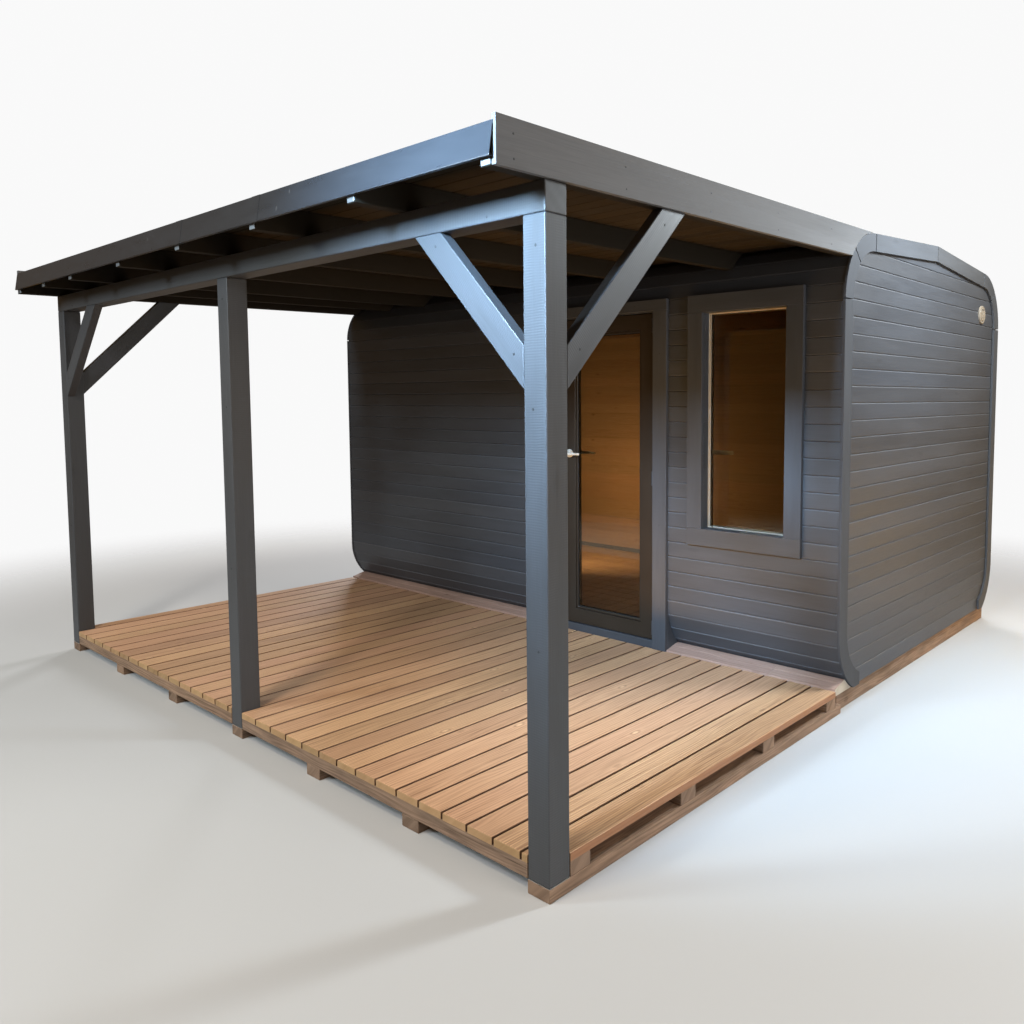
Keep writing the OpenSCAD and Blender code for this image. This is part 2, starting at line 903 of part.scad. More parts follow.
module window_glass() {
    glass_y = wall_y + wall_thickness + (window_frame_depth - glass_thickness) / 2;
    color("tan", 0.4)
    block(
        [window_left + seat_gap, glass_y, window_foot + seat_gap],
        [window_right - seat_gap, glass_y + glass_thickness, window_top - seat_gap]
    );
}

// Handle on the inner face of the frame, reaching over the glass
module window_handle() {
    back = wall_y + wall_thickness + window_frame_depth;
    x = window_left - window_frame_width / 2;
    z = window_foot + window_height * window_handle_share;
    color("gainsboro")
    union() {
        translate([x - window_rose[0] / 2, back, z - window_rose[2] / 2]) cube(window_rose);
        translate([x, back, z]) rotate([-90, 0, 0]) cylinder(r = window_grip_radius, h = spindle_reach);
        translate([x, back + spindle_reach, z]) {
            rotate([0, 90, 0]) cylinder(r = window_grip_radius, h = handle_length);
            sphere(r = window_grip_radius);
        }
    }
}

// Round vent: a flat plate with a raised cap
module vent() {
    color("tan")
    translate([cabin_end, back_y - vent_back_distance, shoulder_height - vent_drop]) rotate([0, 90, 0]) {
        cylinder(d = vent_diameter, h = vent_plate);
        cylinder(d = vent_diameter * vent_cap_share, h = vent_plate + vent_cap);
    }
}

deck_skids();
deck_joists();
deck_rim();
deck_boards();
post_plates();
posts();
front_beam();
knee_braces();
rafters();
roof_boarding();
roof_membrane();
fascia_left();
fascia_right();
drip_flashing();
base_side_beams();
base_cross_beams();
cabin_floor();
front_wall();
window_panels();
front_foot();
front_top_corner();
back_wall();
back_foot();
back_top_corner();
roof_front_slope();
roof_back_slope();
roof_felt();
end_wall_left();
end_wall_right();
end_trim_left();
end_trim_right();
foot_board();
door_frame();
door_sill();
door_casing();
door_cheeks();
door_leaf();
door_glass();
door_handles();
hinge_frame_halves();
hinge_leaf_halves();
window_casing();
window_frame();
window_glass();
window_handle();
vent();
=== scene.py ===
"""Sauna cabin with rounded wall corners and a covered terrace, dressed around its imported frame."""
import logging
import math
import random
from dataclasses import dataclass, field
from enum import Enum
from typing import Callable, Iterable, Sequence, Union

import bmesh
import bpy
from mathutils import Matrix, Vector


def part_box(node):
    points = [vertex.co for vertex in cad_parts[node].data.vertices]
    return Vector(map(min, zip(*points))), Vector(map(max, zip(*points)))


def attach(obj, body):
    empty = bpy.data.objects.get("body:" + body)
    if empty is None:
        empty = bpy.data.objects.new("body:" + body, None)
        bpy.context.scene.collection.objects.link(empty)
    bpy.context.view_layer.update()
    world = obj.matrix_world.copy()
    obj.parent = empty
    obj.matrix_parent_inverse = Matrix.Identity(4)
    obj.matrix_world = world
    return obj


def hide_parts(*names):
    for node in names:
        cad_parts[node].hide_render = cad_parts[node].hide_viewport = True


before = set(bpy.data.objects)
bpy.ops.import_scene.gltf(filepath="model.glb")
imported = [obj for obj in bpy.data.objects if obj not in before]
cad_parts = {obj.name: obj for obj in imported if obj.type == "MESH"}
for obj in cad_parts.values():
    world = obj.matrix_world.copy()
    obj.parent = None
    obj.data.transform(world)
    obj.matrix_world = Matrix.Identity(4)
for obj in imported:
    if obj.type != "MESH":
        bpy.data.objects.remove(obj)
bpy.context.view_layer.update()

log = logging.getLogger("sauna_cabin")
dice = random.Random(11)

Object = bpy.types.Object
Socket = bpy.types.NodeSocket
Colour = tuple[float, float, float]
Point = tuple[float, float, float]
Stop = tuple[float, Colour]
Value = Union[float, Colour, Socket]
Test = Callable[[object], bool]
Spot = tuple[Vector, Vector]
# Scale along the grain, scale across it and number of octaves
Streak = tuple[float, float, float]

RIGHT, LEFT = Vector((1, 0, 0)), Vector((-1, 0, 0))
BACK, FRONT = Vector((0, 1, 0)), Vector((0, -1, 0))
UP, DOWN = Vector((0, 0, 1)), Vector((0, 0, -1))

# Points closer than this count as one
TINY = 1e-5
# Faces that bend less than this are one flat face
FLAT_DEG = 0.4
# Edges sharper than this are broken
SHARP_DEG = 40.0
# Edges flatter than this are shaded smooth on timber, on bent work and on fittings
TIMBER_SMOOTH_DEG = 20.0
BENT_SMOOTH_DEG = 30.0
FITTING_SMOOTH_DEG = 35.0
# How closely a face has to look one way to count as looking that way
FACING = 0.9
# Rounds after which the search for a solid's main direction is steady
STEADY_ROUNDS = 30
# Widths of broken edges on trim, planed timber, sawn timber and posts
TRIM_ARRIS = 0.0016
PLANED_ARRIS = 0.002
SAWN_ARRIS = 0.003
POST_ARRIS = 0.004
# Range of the numbers that tell the noise of one timber from another
SEED_RANGE = 40.0


class Body(Enum):
    """The bodies of the frame that a piece can ride on."""

    CABIN = "cabin"
    DOOR = "door"


class Slot(Enum):
    """The record's material slots."""

    PAINT = "painted_wood"
    DECK = "deck_wood"
    FRAME = "frame_wood"
    PALE = "pale_wood"
    BRONZE = "door_bronze"
    GLASS = "clear_glass"
    FELT = "roof_felt"
    SHEET = "dark_metal"
    STEEL = "bright_metal"


class UvMap(Enum):
    """The two maps that every timber piece carries."""

    GRAIN = "grain"
    PIECE = "piece"


class Bench:
    """Modelling by operators, on one object at a time."""

    @staticmethod
    def clear() -> None:
        """Deselect every object."""
        bpy.ops.object.select_all(action="DESELECT")

    @staticmethod
    def pick(*objs: Object) -> None:
        """Select these objects alone and make the first one active.

        Args:
            objs: The objects to select.
        """
        Bench.clear()
        for obj in objs:
            obj.select_set(True)
        bpy.context.view_layer.objects.active = objs[0]

    @staticmethod
    def settle(obj: Object) -> Object:
        """Put the object's place, turn and scale into its mesh.

        Args:
            obj: The object.

        Returns:
            The same object, at the origin.
        """
        Bench.pick(obj)
        bpy.ops.object.transform_apply(location=True, rotation=True, scale=True)
        return obj

    @staticmethod
    def block(name: str, low: Sequence[float], high: Sequence[float]) -> Object:
        """Add a box between two corners.

        Args:
            name: Name of the new object.
            low: Lowest corner in metres.
            high: Highest corner in metres.

        Returns:
            The new object.
        """
        Bench.clear()
        low, high = Vector(low), Vector(high)
        bpy.ops.mesh.primitive_cube_add(size=1, location=(low + high) / 2)
        obj = bpy.context.object
        obj.name = obj.data.name = name
        obj.scale = high - low
        return Bench.settle(obj)

    @staticmethod
    def disc(name: str, radius: float, depth: float, sides: int = 48) -> Object:
        """Add a cylinder that stands on the origin along +Z.

        Args:
            name: Name of the new object.
            radius: Radius in metres.
            depth: Height in metres.
            sides: Number of sides.

        Returns:
            The new object.
        """
        Bench.clear()
        bpy.ops.mesh.primitive_cylinder_add(
            vertices=sides, radius=radius, depth=depth, location=(0, 0, depth / 2))
        obj = bpy.context.object
        obj.name = obj.data.name = name
        return Bench.settle(obj)

    @staticmethod
    def select(obj: Object, mode: str, test: Test) -> bmesh.types.BMesh:
        """Enter edit mode with the elements selected that pass a test.

        Args:
            obj: The object to edit.
            mode: VERT, EDGE or FACE.
            test: Says of an element whether it is selected.

        Returns:
            The edit mesh.
        """
        Bench.pick(obj)
        bpy.ops.object.mode_set(mode="EDIT")
        bpy.ops.mesh.select_mode(type=mode)
        bpy.ops.mesh.select_all(action="DESELECT")
        mesh = bmesh.from_edit_mesh(obj.data)
        for item in {"VERT": mesh.verts, "EDGE": mesh.edges, "FACE": mesh.faces}[mode]:
            item.select_set(test(item))
        bmesh.update_edit_mesh(obj.data)
        return mesh

    @staticmethod
    def done() -> None:
        """Leave edit mode."""
        bpy.ops.object.mode_set(mode="OBJECT")

    @staticmethod
    def bevel(obj: Object, width: float, test: Test, segments: int = 1) -> None:
        """Bevel the edges that pass a test.

        Args:
            obj: The object to edit.
            width: Width of the bevel in metres.
            test: Says of an edge whether it is bevelled.
            segments: Number of steps.
        """
        Bench.select(obj, "EDGE", test)
        bpy.ops.mesh.bevel(offset=width, segments=segments, affect="EDGES")
        Bench.done()

    @staticmethod
    def step(inset: float, rise: float) -> None:
        """Inset the selected face in edit mode and move what is inside along Z.

        Args:
            inset: Width of the rim that stays.
            rise: How far the rest moves.
        """
        bpy.ops.mesh.inset(thickness=inset)
        bpy.ops.mesh.extrude_region_move(TRANSFORM_OT_translate={"value": (0, 0, rise)})

    @staticmethod
    def resize(obj: Object, test: Test, scale: Point, centre: Point) -> None:
        """Scale the vertices that pass a test about a centre.

        Args:
            obj: The object to edit.
            test: Says of a vertex whether it moves.
            scale: Factors along X, Y and Z.
            centre: The fixed point.
        """
        Bench.select(obj, "VERT", test)
        bpy.ops.transform.resize(value=scale, center_override=centre)
        Bench.done()

    @staticmethod
    def slice(obj: Object, point: Point, normal: Point, keep_all: bool = False) -> None:
        """Cut along a plane, and take away what lies on the normal's side.

        Args:
            obj: The object to edit.
            point: A point of the plane.
            normal: The plane's normal.
            keep_all: Only mark the cut and keep both sides.
        """
        Bench.select(obj, "FACE", lambda face: True)
        bpy.ops.mesh.bisect(plane_co=point, plane_no=normal, use_fill=not keep_all, clear_outer=not keep_all)
        Bench.done()

    @staticmethod
    def modify(obj: Object, kind: str, **settings: object) -> None:
        """Add a modifier and apply it.

        Args:
            obj: The object.
            kind: The modifier's type.
            settings: Values of its fields.
        """
        Bench.pick(obj)
        bpy.ops.object.modifier_add(type=kind)
        modifier = obj.modifiers[-1]
        for key, value in settings.items():
            setattr(modifier, key, value)
        bpy.ops.object.modifier_apply(modifier=modifier.name)

    @staticmethod
    def carve(obj: Object, tool: Object, operation: str) -> None:
        """Combine a mesh with a tool mesh, which is then deleted.

        Args:
            obj: The object that stays.
            tool: The object that cuts it.
            operation: INTERSECT or DIFFERENCE.
        """
        Bench.modify(obj, "BOOLEAN", object=tool, operation=operation, solver="EXACT")
        bpy.data.objects.remove(tool)

    @staticmethod
    def shrink(obj: Object, inset: float) -> None:
        """Move all faces of an object inwards.

        Args:
            obj: The object.
            inset: How far.
        """
        Bench.select(obj, "VERT", lambda vertex: True)
        bpy.ops.transform.shrink_fatten(value=-inset, use_even_offset=True)
        Bench.done()

    @staticmethod
    def arris(obj: Object, width: float, segments: int = 1) -> None:
        """Break all sharp edges.

        Args:
            obj: The object.
            width: Width of the bevel in metres.
            segments: Number of steps.
        """
        Bench.modify(
            obj, "BEVEL", width=width, segments=segments, limit_method="ANGLE",
            angle_limit=math.radians(SHARP_DEG), use_clamp_overlap=True,
        )

    @staticmethod
    def smooth(obj: Object, degrees: float = TIMBER_SMOOTH_DEG) -> None:
        """Shade smooth across edges under an angle.

        Args:
            obj: The object.
            degrees: The angle.
        """
        Bench.pick(obj)
        bpy.ops.object.shade_smooth_by_angle(angle=math.radians(degrees))

    @staticmethod
    def copy(obj: Object, place: Matrix) -> Object:
        """Copy an object with a mesh of its own.

        Args:
            obj: The object to copy.
            place: Where the copy's mesh goes.

        Returns:
            The copy, at the origin.
        """
        made = bpy.data.objects.new(obj.name, obj.data.copy())
        bpy.context.scene.collection.objects.link(made)
        made.data.transform(place)
        return made

    @staticmethod
    def drop(obj: Object) -> None:
        """Delete an object that was only a pattern."""
        bpy.data.objects.remove(obj)

    @staticmethod
    def join(objs: Sequence[Object], name: str) -> Object:
        """Join objects into one.

        Args:
            objs: The objects.
            name: Name of the result.

        Returns:
            The joined object.
        """
        Bench.pick(*objs)
        if len(objs) > 1:
            bpy.ops.object.join()
        obj = bpy.context.view_layer.objects.active
        obj.name = obj.data.name = name
        return obj

    @staticmethod
    def solid(node: str, name: str) -> Object:
        """Copy a node's solid as a clean mesh with flat faces in one piece.

        Args:
            node: The node to copy.
            name: Name of the new object.

        Returns:
            The copy.
        """
        obj = bpy.data.objects.new(name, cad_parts[node].data.copy())
        bpy.context.scene.collection.objects.link(obj)
        obj.data.materials.clear()
        Bench.select(obj, "FACE", lambda face: True)
        bpy.ops.mesh.remove_doubles(threshold=TINY)
        bpy.ops.mesh.dissolve_limited(angle_limit=math.radians(FLAT_DEG))
        Bench.done()
        return obj

    @staticmethod
    def frame(name: str, low: Sequence[float], high: Sequence[float], border: float) -> Object:
        """Add an upright rectangular frame between two corners, open along Y.

        Args:
            name: Name of the new object.
            low: Lowest corner in metres.
            high: Highest corner in metres.
            border: Width of the four sides.

        Returns:
            The new object.
        """
        obj = Bench.block(name, low, high)
        Bench.select(obj, "FACE", lambda face: abs(face.normal.y) > FACING)
        bpy.ops.mesh.inset(thickness=border)
        bpy.ops.mesh.bridge_edge_loops()
        Bench.done()
        return obj

    @staticmethod
    def mirror(obj: Object, plane_y: float) -> Object:
        """Copy an object to the other side of an upright plane across Y.

        Args:
            obj: The object to copy.
            plane_y: Place of the plane.

        Returns:
            The copy.
        """
        flip = Matrix.Translation((0, 2 * plane_y, 0)) @ Matrix.Scale(-1, 4, (0, 1, 0))
        made = Bench.copy(obj, flip)
        Bench.select(made, "FACE", lambda face: True)
        bpy.ops.mesh.flip_normals()
        Bench.done()
        return made

    @staticmethod
    def lap(solid: Object, left: float, right: float, proud: float) -> Object:
        """Copy a slice of a sheet across X, a little larger all round, where two sheets lap.

        Args:
            solid: The sheet.
            left: Left end of the slice.
            right: Right end of the slice.
            proud: How far the lap stands off the sheet.

        Returns:
            The lap.
        """
        made = Bench.copy(solid, Matrix())
        Bench.slice(made, (left, 0, 0), (-1, 0, 0))
        Bench.slice(made, (right, 0, 0), (1, 0, 0))
        Bench.select(made, "FACE", lambda face: True)
        bpy.ops.transform.shrink_fatten(value=proud)
        Bench.done()
        return made

    @staticmethod
    def loose(obj: Object) -> list[Object]:
        """Split an object into its loose solids.

        Args:
            obj: The object.

        Returns:
            The solids, each an object.
        """
        Bench.select(obj, "FACE", lambda face: True)
        bpy.ops.mesh.separate(type="LOOSE")
        Bench.done()
        return list(bpy.context.selected_objects)


def extent(obj: Object) -> tuple[Vector, Vector]:
    """Lowest and highest corner of a mesh.

    Args:
        obj: An object at the origin.

    Returns:
        The two corners.
    """
    points = [vertex.co for vertex in obj.data.vertices]
    return (
        Vector([min(p[i] for p in points) for i in range(3)]),
        Vector([max(p[i] for p in points) for i in range(3)]),
    )


def solids_of(node: str) -> list[tuple[Vector, Vector]]:
    """Boxes of a node's solids, from left to right.

    Args:
        node: The node.

    Returns:
        A pair of corners for each solid.
    """
    parts = Bench.loose(Bench.solid(node, "measure"))
    boxes = sorted((extent(part) for part in parts), key=lambda box: tuple(box[0]))
    for part in parts:
        Bench.drop(part)
    return boxes


def above(level: float) -> Test:
    """A test for the edges that lie above a level."""
    return lambda edge: min(vertex.co.z for vertex in edge.verts) > level


def is_disc_top(face: bmesh.types.BMFace) -> bool:
    """Whether a face is the round top of a disc, and not a four-sided face of its rim."""
    return face.normal.z > FACING and len(face.verts) > 4


def main_direction(obj: Object) -> Vector:
    """The direction in which a solid is longest.

    Args:
        obj: The object.

    Returns:
        A unit vector.
    """
    points = [vertex.co for vertex in obj.data.vertices]
    middle = sum(points, Vector()) / len(points)
    guess = max((p - middle for p in points), key=lambda d: d.length).normalized()
    for _ in range(STEADY_ROUNDS):
        guess = sum(((p - middle) * (p - middle).dot(guess) for p in points), Vector()).normalized()
    return guess


@dataclass(frozen=True)
class Grain:
    """What tells one timber from another: a random mark, and where its grain is read."""

    mark: tuple[float, float]
    shift: tuple[float, float]

    @classmethod
    def pick(cls) -> "Grain":
        """A new random grain."""
        return cls((dice.random(), dice.random()), (dice.uniform(0, 20), dice.uniform(0, 20)))


# How closely a face has to look along the grain to show end grain, and the scale of that
END_GRAIN_FACING = 0.8
END_GRAIN_SHARE = 0.2


def lay_grain(obj: Object, direction: Vector, grain: Union[Grain, None] = None) -> None:
    """Map one timber in metres along and across its grain, and give it a mark of its own.

    Args:
        obj: One board or beam.
        direction: The way that the grain runs.
        grain: The timber's grain, or None for a new one.
    """
    grain = grain or Grain.pick()
    mesh = obj.data
    while mesh.uv_layers:
        mesh.uv_layers.remove(mesh.uv_layers[0])
    mesh.uv_layers.new(name=UvMap.GRAIN.value)
    mesh.uv_layers.new(name=UvMap.PIECE.value)
    lines, marks = (mesh.uv_layers[layer.value].data for layer in UvMap)
    side = direction.orthogonal().normalized()
    for face in mesh.polygons:
        end_grain = abs(face.normal.dot(direction)) > END_GRAIN_FACING
        along = side if end_grain else direction
        scale = END_GRAIN_SHARE if end_grain else 1.0
        across = face.normal.cross(along).normalized()
        for loop in face.loop_indices:
            point = mesh.vertices[mesh.loops[loop].vertex_index].co * scale
            lines[loop].uv = (point.dot(along) + grain.shift[0], point.dot(across) + grain.shift[1])
            marks[loop].uv = grain.mark


class Graph:
    """A material's node tree, with one short call for each kind of node that the finishes use."""

    def __init__(self, name: str) -> None:
        """Start a material.

        Args:
            name: The material's name.
        """
        self.material = bpy.data.materials.new(name)
        self.material.use_nodes = True
        self.tree = self.material.node_tree
        self.shader = self.tree.nodes["Principled BSDF"]

    def put(self, socket: Socket, value: Value) -> None:
        """Set or link an input.

        Args:
            socket: The input.
            value: A number, a colour or another node's output.
        """
        if isinstance(value, Socket):
            self.tree.links.new(value, socket)
        elif isinstance(value, tuple) and len(socket.default_value) == 4:
            socket.default_value = (*value, 1.0)
        else:
            socket.default_value = value

    def node(self, kind: str, **settings: object) -> bpy.types.Node:
        """Add a node.

        Args:
            kind: The node's type, without its prefix.
            settings: Values of its fields.

        Returns:
            The node.
        """
        made = self.tree.nodes.new("ShaderNode" + kind)
        for key, value in settings.items():
            setattr(made, key, value)
        return made

    def surface(self, **inputs: Value) -> None:
        """Set or link inputs of the shader.

        Args:
            inputs: Values by input name, with _ for a space.
        """
        for key, value in inputs.items():
            self.put(self.shader.inputs[key.replace("_", " ")], value)

    def calc(self, operation: str, first: Value, second: Value = 0.0) -> Socket:
        """A sum on two numbers.

        Args:
            operation: The Math node's operation.
            first: The first number.
            second: The second number.

        Returns:
            The result.
        """
        made = self.node("Math", operation=operation)
        self.put(made.inputs[0], first)
        self.put(made.inputs[1], second)
        return made.outputs[0]

    def times(self, first: Value, second: Value) -> Socket:
        """The product of two numbers."""
        return self.calc("MULTIPLY", first, second)

    def vector(self, x: Value, y: Value, z: Value = 0.0) -> Socket:
        """A vector of three numbers.

        Args:
            x: First number.
            y: Second number.
            z: Third number.

        Returns:
            The vector.
        """
        made = self.node("CombineXYZ")
        for socket, value in zip(made.inputs, (x, y, z)):
            self.put(socket, value)
        return made.outputs[0]

    def parts(self, vector: Socket) -> Sequence[Socket]:
        """The three numbers of a vector.

        Args:
            vector: The vector.

        Returns:
            Its X, Y and Z.
        """
        made = self.node("SeparateXYZ")
        self.put(made.inputs[0], vector)
        return made.outputs

    def place(self) -> Socket:
        """Object coordinates."""
        return self.node("TexCoord").outputs["Object"]

    def drawn(self, by_x: float, by_z: float) -> Socket:
        """Object coordinates, scaled along X and Z.

        Args:
            by_x: Scale along X.
            by_z: Scale along Z.

        Returns:
            The place as a vector.
        """
        x, y, z = self.parts(self.place())
        return self.vector(self.times(x, by_x), y, self.times(z, by_z))

    def board(self) -> tuple[Socket, Socket, Socket, Socket]:
        """Place on a timber: metres along and across its grain, and its two random marks.

        Returns:
            Four numbers.
        """
        grain = self.parts(self.node("UVMap", uv_map=UvMap.GRAIN.value).outputs[0])
        piece = self.parts(self.node("UVMap", uv_map=UvMap.PIECE.value).outputs[0])
        return grain[0], grain[1], piece[0], piece[1]

    def stretch(
        self, along: Value, across: Value, seed: Value, by_length: float, by_width: float,
    ) -> Socket:
        """A place on a timber, scaled along and across its grain.

        Args:
            along: Metres along the grain.
            across: Metres across the grain.
            seed: The timber's own number.
            by_length: Scale along the grain.
            by_width: Scale across the grain.

        Returns:
            The place as a vector.
        """
        return self.vector(self.times(along, by_length), self.times(across, by_width), seed)

    def streaks(
        self, along: Value, across: Value, seed: Value, by_length: float, by_width: float, detail: float,
    ) -> Socket:
        """Noise drawn out along the grain.

        Args:
            along: Metres along the grain.
            across: Metres across the grain.
            seed: The timber's own number.
            by_length: Scale along the grain.
            by_width: Scale across the grain.
            detail: Number of octaves.

        Returns:
            The noise.
        """
        return self.noise(self.stretch(along, across, seed, by_length, by_width), 1.0, detail)

    def noise(self, vector: Value, scale: float, detail: float = 3, rough: float = 0.55) -> Socket:
        """Noise from 0 to 1.

        Args:
            vector: Where it is read.
            scale: Its scale.
            detail: Number of octaves.
            rough: Strength of the finer octaves.

        Returns:
            The noise.
        """
        made = self.node("TexNoise")
        self.put(made.inputs["Vector"], vector)
        for key, value in {"Scale": scale, "Detail": detail, "Roughness": rough}.items():
            made.inputs[key].default_value = value
        return made.outputs[0]

    def cells(self, vector: Value, scale: float) -> Socket:
        """Distance to the nearest of scattered points.

        Args:
            vector: Where it is read.
            scale: Points to the unit.

        Returns:
            The distance.
        """
        made = self.node("TexVoronoi")
        self.put(made.inputs["Vector"], vector)
        made.inputs["Scale"].default_value = scale
        return made.outputs["Distance"]

    def span(self, value: Value, low: float, high: float, first: float = 0.0, last: float = 1.0) -> Socket:
        """A smooth step between two numbers.

        Args:
            value: The number that is read.
            low: Where the step starts.
            high: Where it ends.
            first: Result before the step.
            last: Result after it.

        Returns:
            The result.
        """
        made = self.node("MapRange", interpolation_type="SMOOTHSTEP")
        for socket, number in zip(made.inputs, (value, low, high, first, last)):
            self.put(socket, number)
        return made.outputs[0]

    def ramp(self, value: Value, stops: Iterable[Stop]) -> Socket:
        """A run of colours.

        Args:
            value: Place on the run.
            stops: Places and colours.

        Returns:
            The colour.
        """
        made = self.node("ValToRGB")
        stops = list(stops)
        elements = made.color_ramp.elements
        while len(elements) < len(stops):
            elements.new(1.0)
        for element, (place, colour) in zip(elements, stops):
            element.position = place
            element.color = (*colour, 1.0)
        self.put(made.inputs[0], value)
        return made.outputs[0]

    def mix(self, share: Value, first: Value, second: Value) -> Socket:
        """A blend of two colours.

        Args:
            share: Share of the second.
            first: The first colour.
            second: The second colour.

        Returns:
            The colour.
        """
        made = self.node("Mix", data_type="RGBA")
        self.put(made.inputs[0], share)
        self.put(made.inputs[6], first)
        self.put(made.inputs[7], second)
        return made.outputs[2]

    def scale(self, colour: Value, factor: Value) -> Socket:
        """A colour made lighter or darker.

        Args:
            colour: The colour.
            factor: The factor.

        Returns:
            The colour.
        """
        made = self.node("VectorMath", operation="SCALE")
        self.put(made.inputs[0], colour)
        self.put(made.inputs["Scale"], factor)
        return made.outputs[0]

    def total(self, *terms: tuple[float, Value]) -> Socket:
        """A weighted sum.

        Args:
            terms: Pairs of a weight and a number.

        Returns:
            The sum.
        """
        result: Value = 0.0
        for weight, value in terms:
            made = self.node("Math", operation="MULTIPLY_ADD")
            for socket, number in zip(made.inputs, (value, weight, result)):
                self.put(socket, number)
            result = made.outputs[0]
        return result

    def bump(self, height: Value, depth: float, strength: float = 1.0) -> None:
        """Relief on the shader.

        Args:
            height: Height from 0 to 1.
            depth: Depth in metres at full height.
            strength: Strength of the relief.
        """
        made = self.node("Bump")
        made.inputs["Strength"].default_value = strength
        made.inputs["Distance"].default_value = depth
        self.put(made.inputs["Height"], height)
        self.put(self.shader.inputs["Normal"], made.outputs[0])


class Finish:
    """A surface finish, whose material is made once."""

    made: dict[str, bpy.types.Material] = {}
    name: str

    def material(self) -> bpy.types.Material:
        """The finish's material.

        Returns:
            The material, made on the first call.
        """
        if self.name not in Finish.made:
            graph = Graph(self.name)
            self.shade(graph)
            Finish.made[self.name] = graph.material
        return Finish.made[self.name]

    def shade(self, graph: Graph) -> None:
        """Build the nodes of the finish.

        Args:
            graph: The material's node tree.
        """
        raise NotImplementedError


@dataclass(frozen=True)
class PaintedTimber(Finish):
    """Opaque paint brushed on timber, with fibres, saw marks and brush strokes showing."""

    name: str
    colour: Colour
    warm: Colour
    spread: float = 0.1
    sawn: float = 0.0
    gloss: float = 0.5
    specular: float = 0.5
    fibre: Streak = (7.0, 190.0, 5)
    brush: Streak = (2.2, 620.0, 2)
    wander: Streak = (9.0, 7.0, 2)
    blotch: Streak = (1.7, 12.0, 3)
    saw_lines: float = 760.0
    knot_scale: tuple[float, float] = (2.3, 8.0)
    relief: float = 0.0012

    def shade(self, graph: Graph) -> None:
        """Build the nodes of the finish.

        Args:
            graph: The material's node tree.
        """
        along, across, mark, other = graph.board()
        seed = graph.times(mark, SEED_RANGE)
        fibre = graph.streaks(along, across, seed, *self.fibre)
        brush = graph.streaks(along, across, seed, *self.brush)
        wander = graph.streaks(along, across, seed, *self.wander)
        blotch = graph.streaks(along, across, seed, *self.blotch)
        saw = graph.calc("SINE", graph.total((self.saw_lines, along), (12.0, wander)))
        saw = graph.times(saw, graph.span(blotch, 0.3, 0.62))
        spot = graph.cells(graph.stretch(along, across, seed, *self.knot_scale), 1.0)
        knot = graph.span(spot, 0.03, 0.13, 1.0, 0.0)
        tone = graph.total(
            (2 * self.spread, mark), (0.5, blotch), (0.36, fibre), (0.2, brush), (0.05 * self.sawn, saw),
            (-0.12, knot), (1.0 - self.spread - 0.53, 1.0))
        colour = graph.mix(graph.times(other, 0.6), self.colour, self.warm)
        graph.surface(
            Base_Color=graph.scale(colour, tone),
            Roughness=graph.total((0.24, fibre), (0.16, blotch), (self.gloss - 0.2, 1.0)),
            Specular_IOR_Level=self.specular)
        height = graph.total((0.5, fibre), (0.25, brush), (0.1 * self.sawn, saw), (0.6, knot))
        graph.bump(height, self.relief, 0.55)


@dataclass(frozen=True)
class BareTimber(Finish):
    """Unpainted or oiled softwood with growth lines, fibres, pitch streaks and knots."""

    name: str
    pale: Colour
    dark: Colour
    knot: Colour
    blush: Colour
    spread: float = 0.3
    ribs: float = 0.0
    rough: float = 0.6
    weather: float = 0.0
    bend: Streak = (1.1, 8.0, 2)
    fibre: Streak = (6.0, 300.0, 5)
    pitch: Streak = (1.6, 85.0, 3)
    blotch: Streak = (2.6, 6.0, 4)
    grime: Streak = (5.0, 22.0, 5)
    year_lines: float = 380.0
    rib_lines: float = 560.0
    knot_scale: tuple[float, float] = (3.6, 8.0)
    relief: float = 0.0012

    def shade(self, graph: Graph) -> None:
        """Build the nodes of the finish.

        Args:
            graph: The material's node tree.
        """
        along, across, mark, other = graph.board()
        seed = graph.times(mark, SEED_RANGE)
        bend = graph.streaks(along, across, seed, *self.bend)
        lines = graph.calc("SINE", graph.total((52.0, bend), (self.year_lines, across)))
        lines = graph.total((0.5, lines), (0.5, 1.0))
        fibre = graph.streaks(along, across, seed, *self.fibre)
        pitch = graph.span(graph.streaks(along, across, seed, *self.pitch), 0.56, 0.74)
        blotch = graph.streaks(along, across, seed, *self.blotch)
        grime = graph.streaks(along, across, seed, *self.grime)
        spot = graph.cells(graph.stretch(along, across, seed, *self.knot_scale), 1.0)
        knot = graph.span(spot, 0.03, 0.09, 1.0, 0.0)
        halo = graph.span(spot, 0.1, 0.3, 1.0, 0.0)
        ring = graph.times(graph.span(spot, 0.05, 0.09), graph.span(spot, 0.09, 0.15, 1.0, 0.0))
        share = graph.total(
            (0.24, lines), (0.95, fibre), (0.32, blotch), (0.45, pitch), (-0.14, halo), (0.35, ring),
            (-0.45, 1.0))
        pale = graph.mix(other, self.pale, self.blush)
        wood = graph.mix(graph.span(share, 0.0, 1.0), pale, self.dark)
        wood = graph.mix(graph.times(knot, 0.8), wood, self.knot)
        ribbed = graph.calc("LESS_THAN", other, self.ribs)
        rib = graph.times(ribbed, graph.calc("SINE", graph.times(across, self.rib_lines)))
        tone = graph.total(
            (self.spread, mark), (0.12, blotch), (0.15, rib), (self.weather, grime),
            (0.94 - 0.5 * self.spread - 0.5 * self.weather, 1.0))
        graph.surface(
            Base_Color=graph.scale(wood, tone),
            Roughness=graph.total((0.2, fibre), (0.1, lines), (self.rough - 0.15, 1.0)),
            Specular_IOR_Level=0.35)
        height = graph.total((0.2, lines), (0.5, fibre), (0.6, rib), (0.3, knot))
        graph.bump(height, self.relief, 0.5)


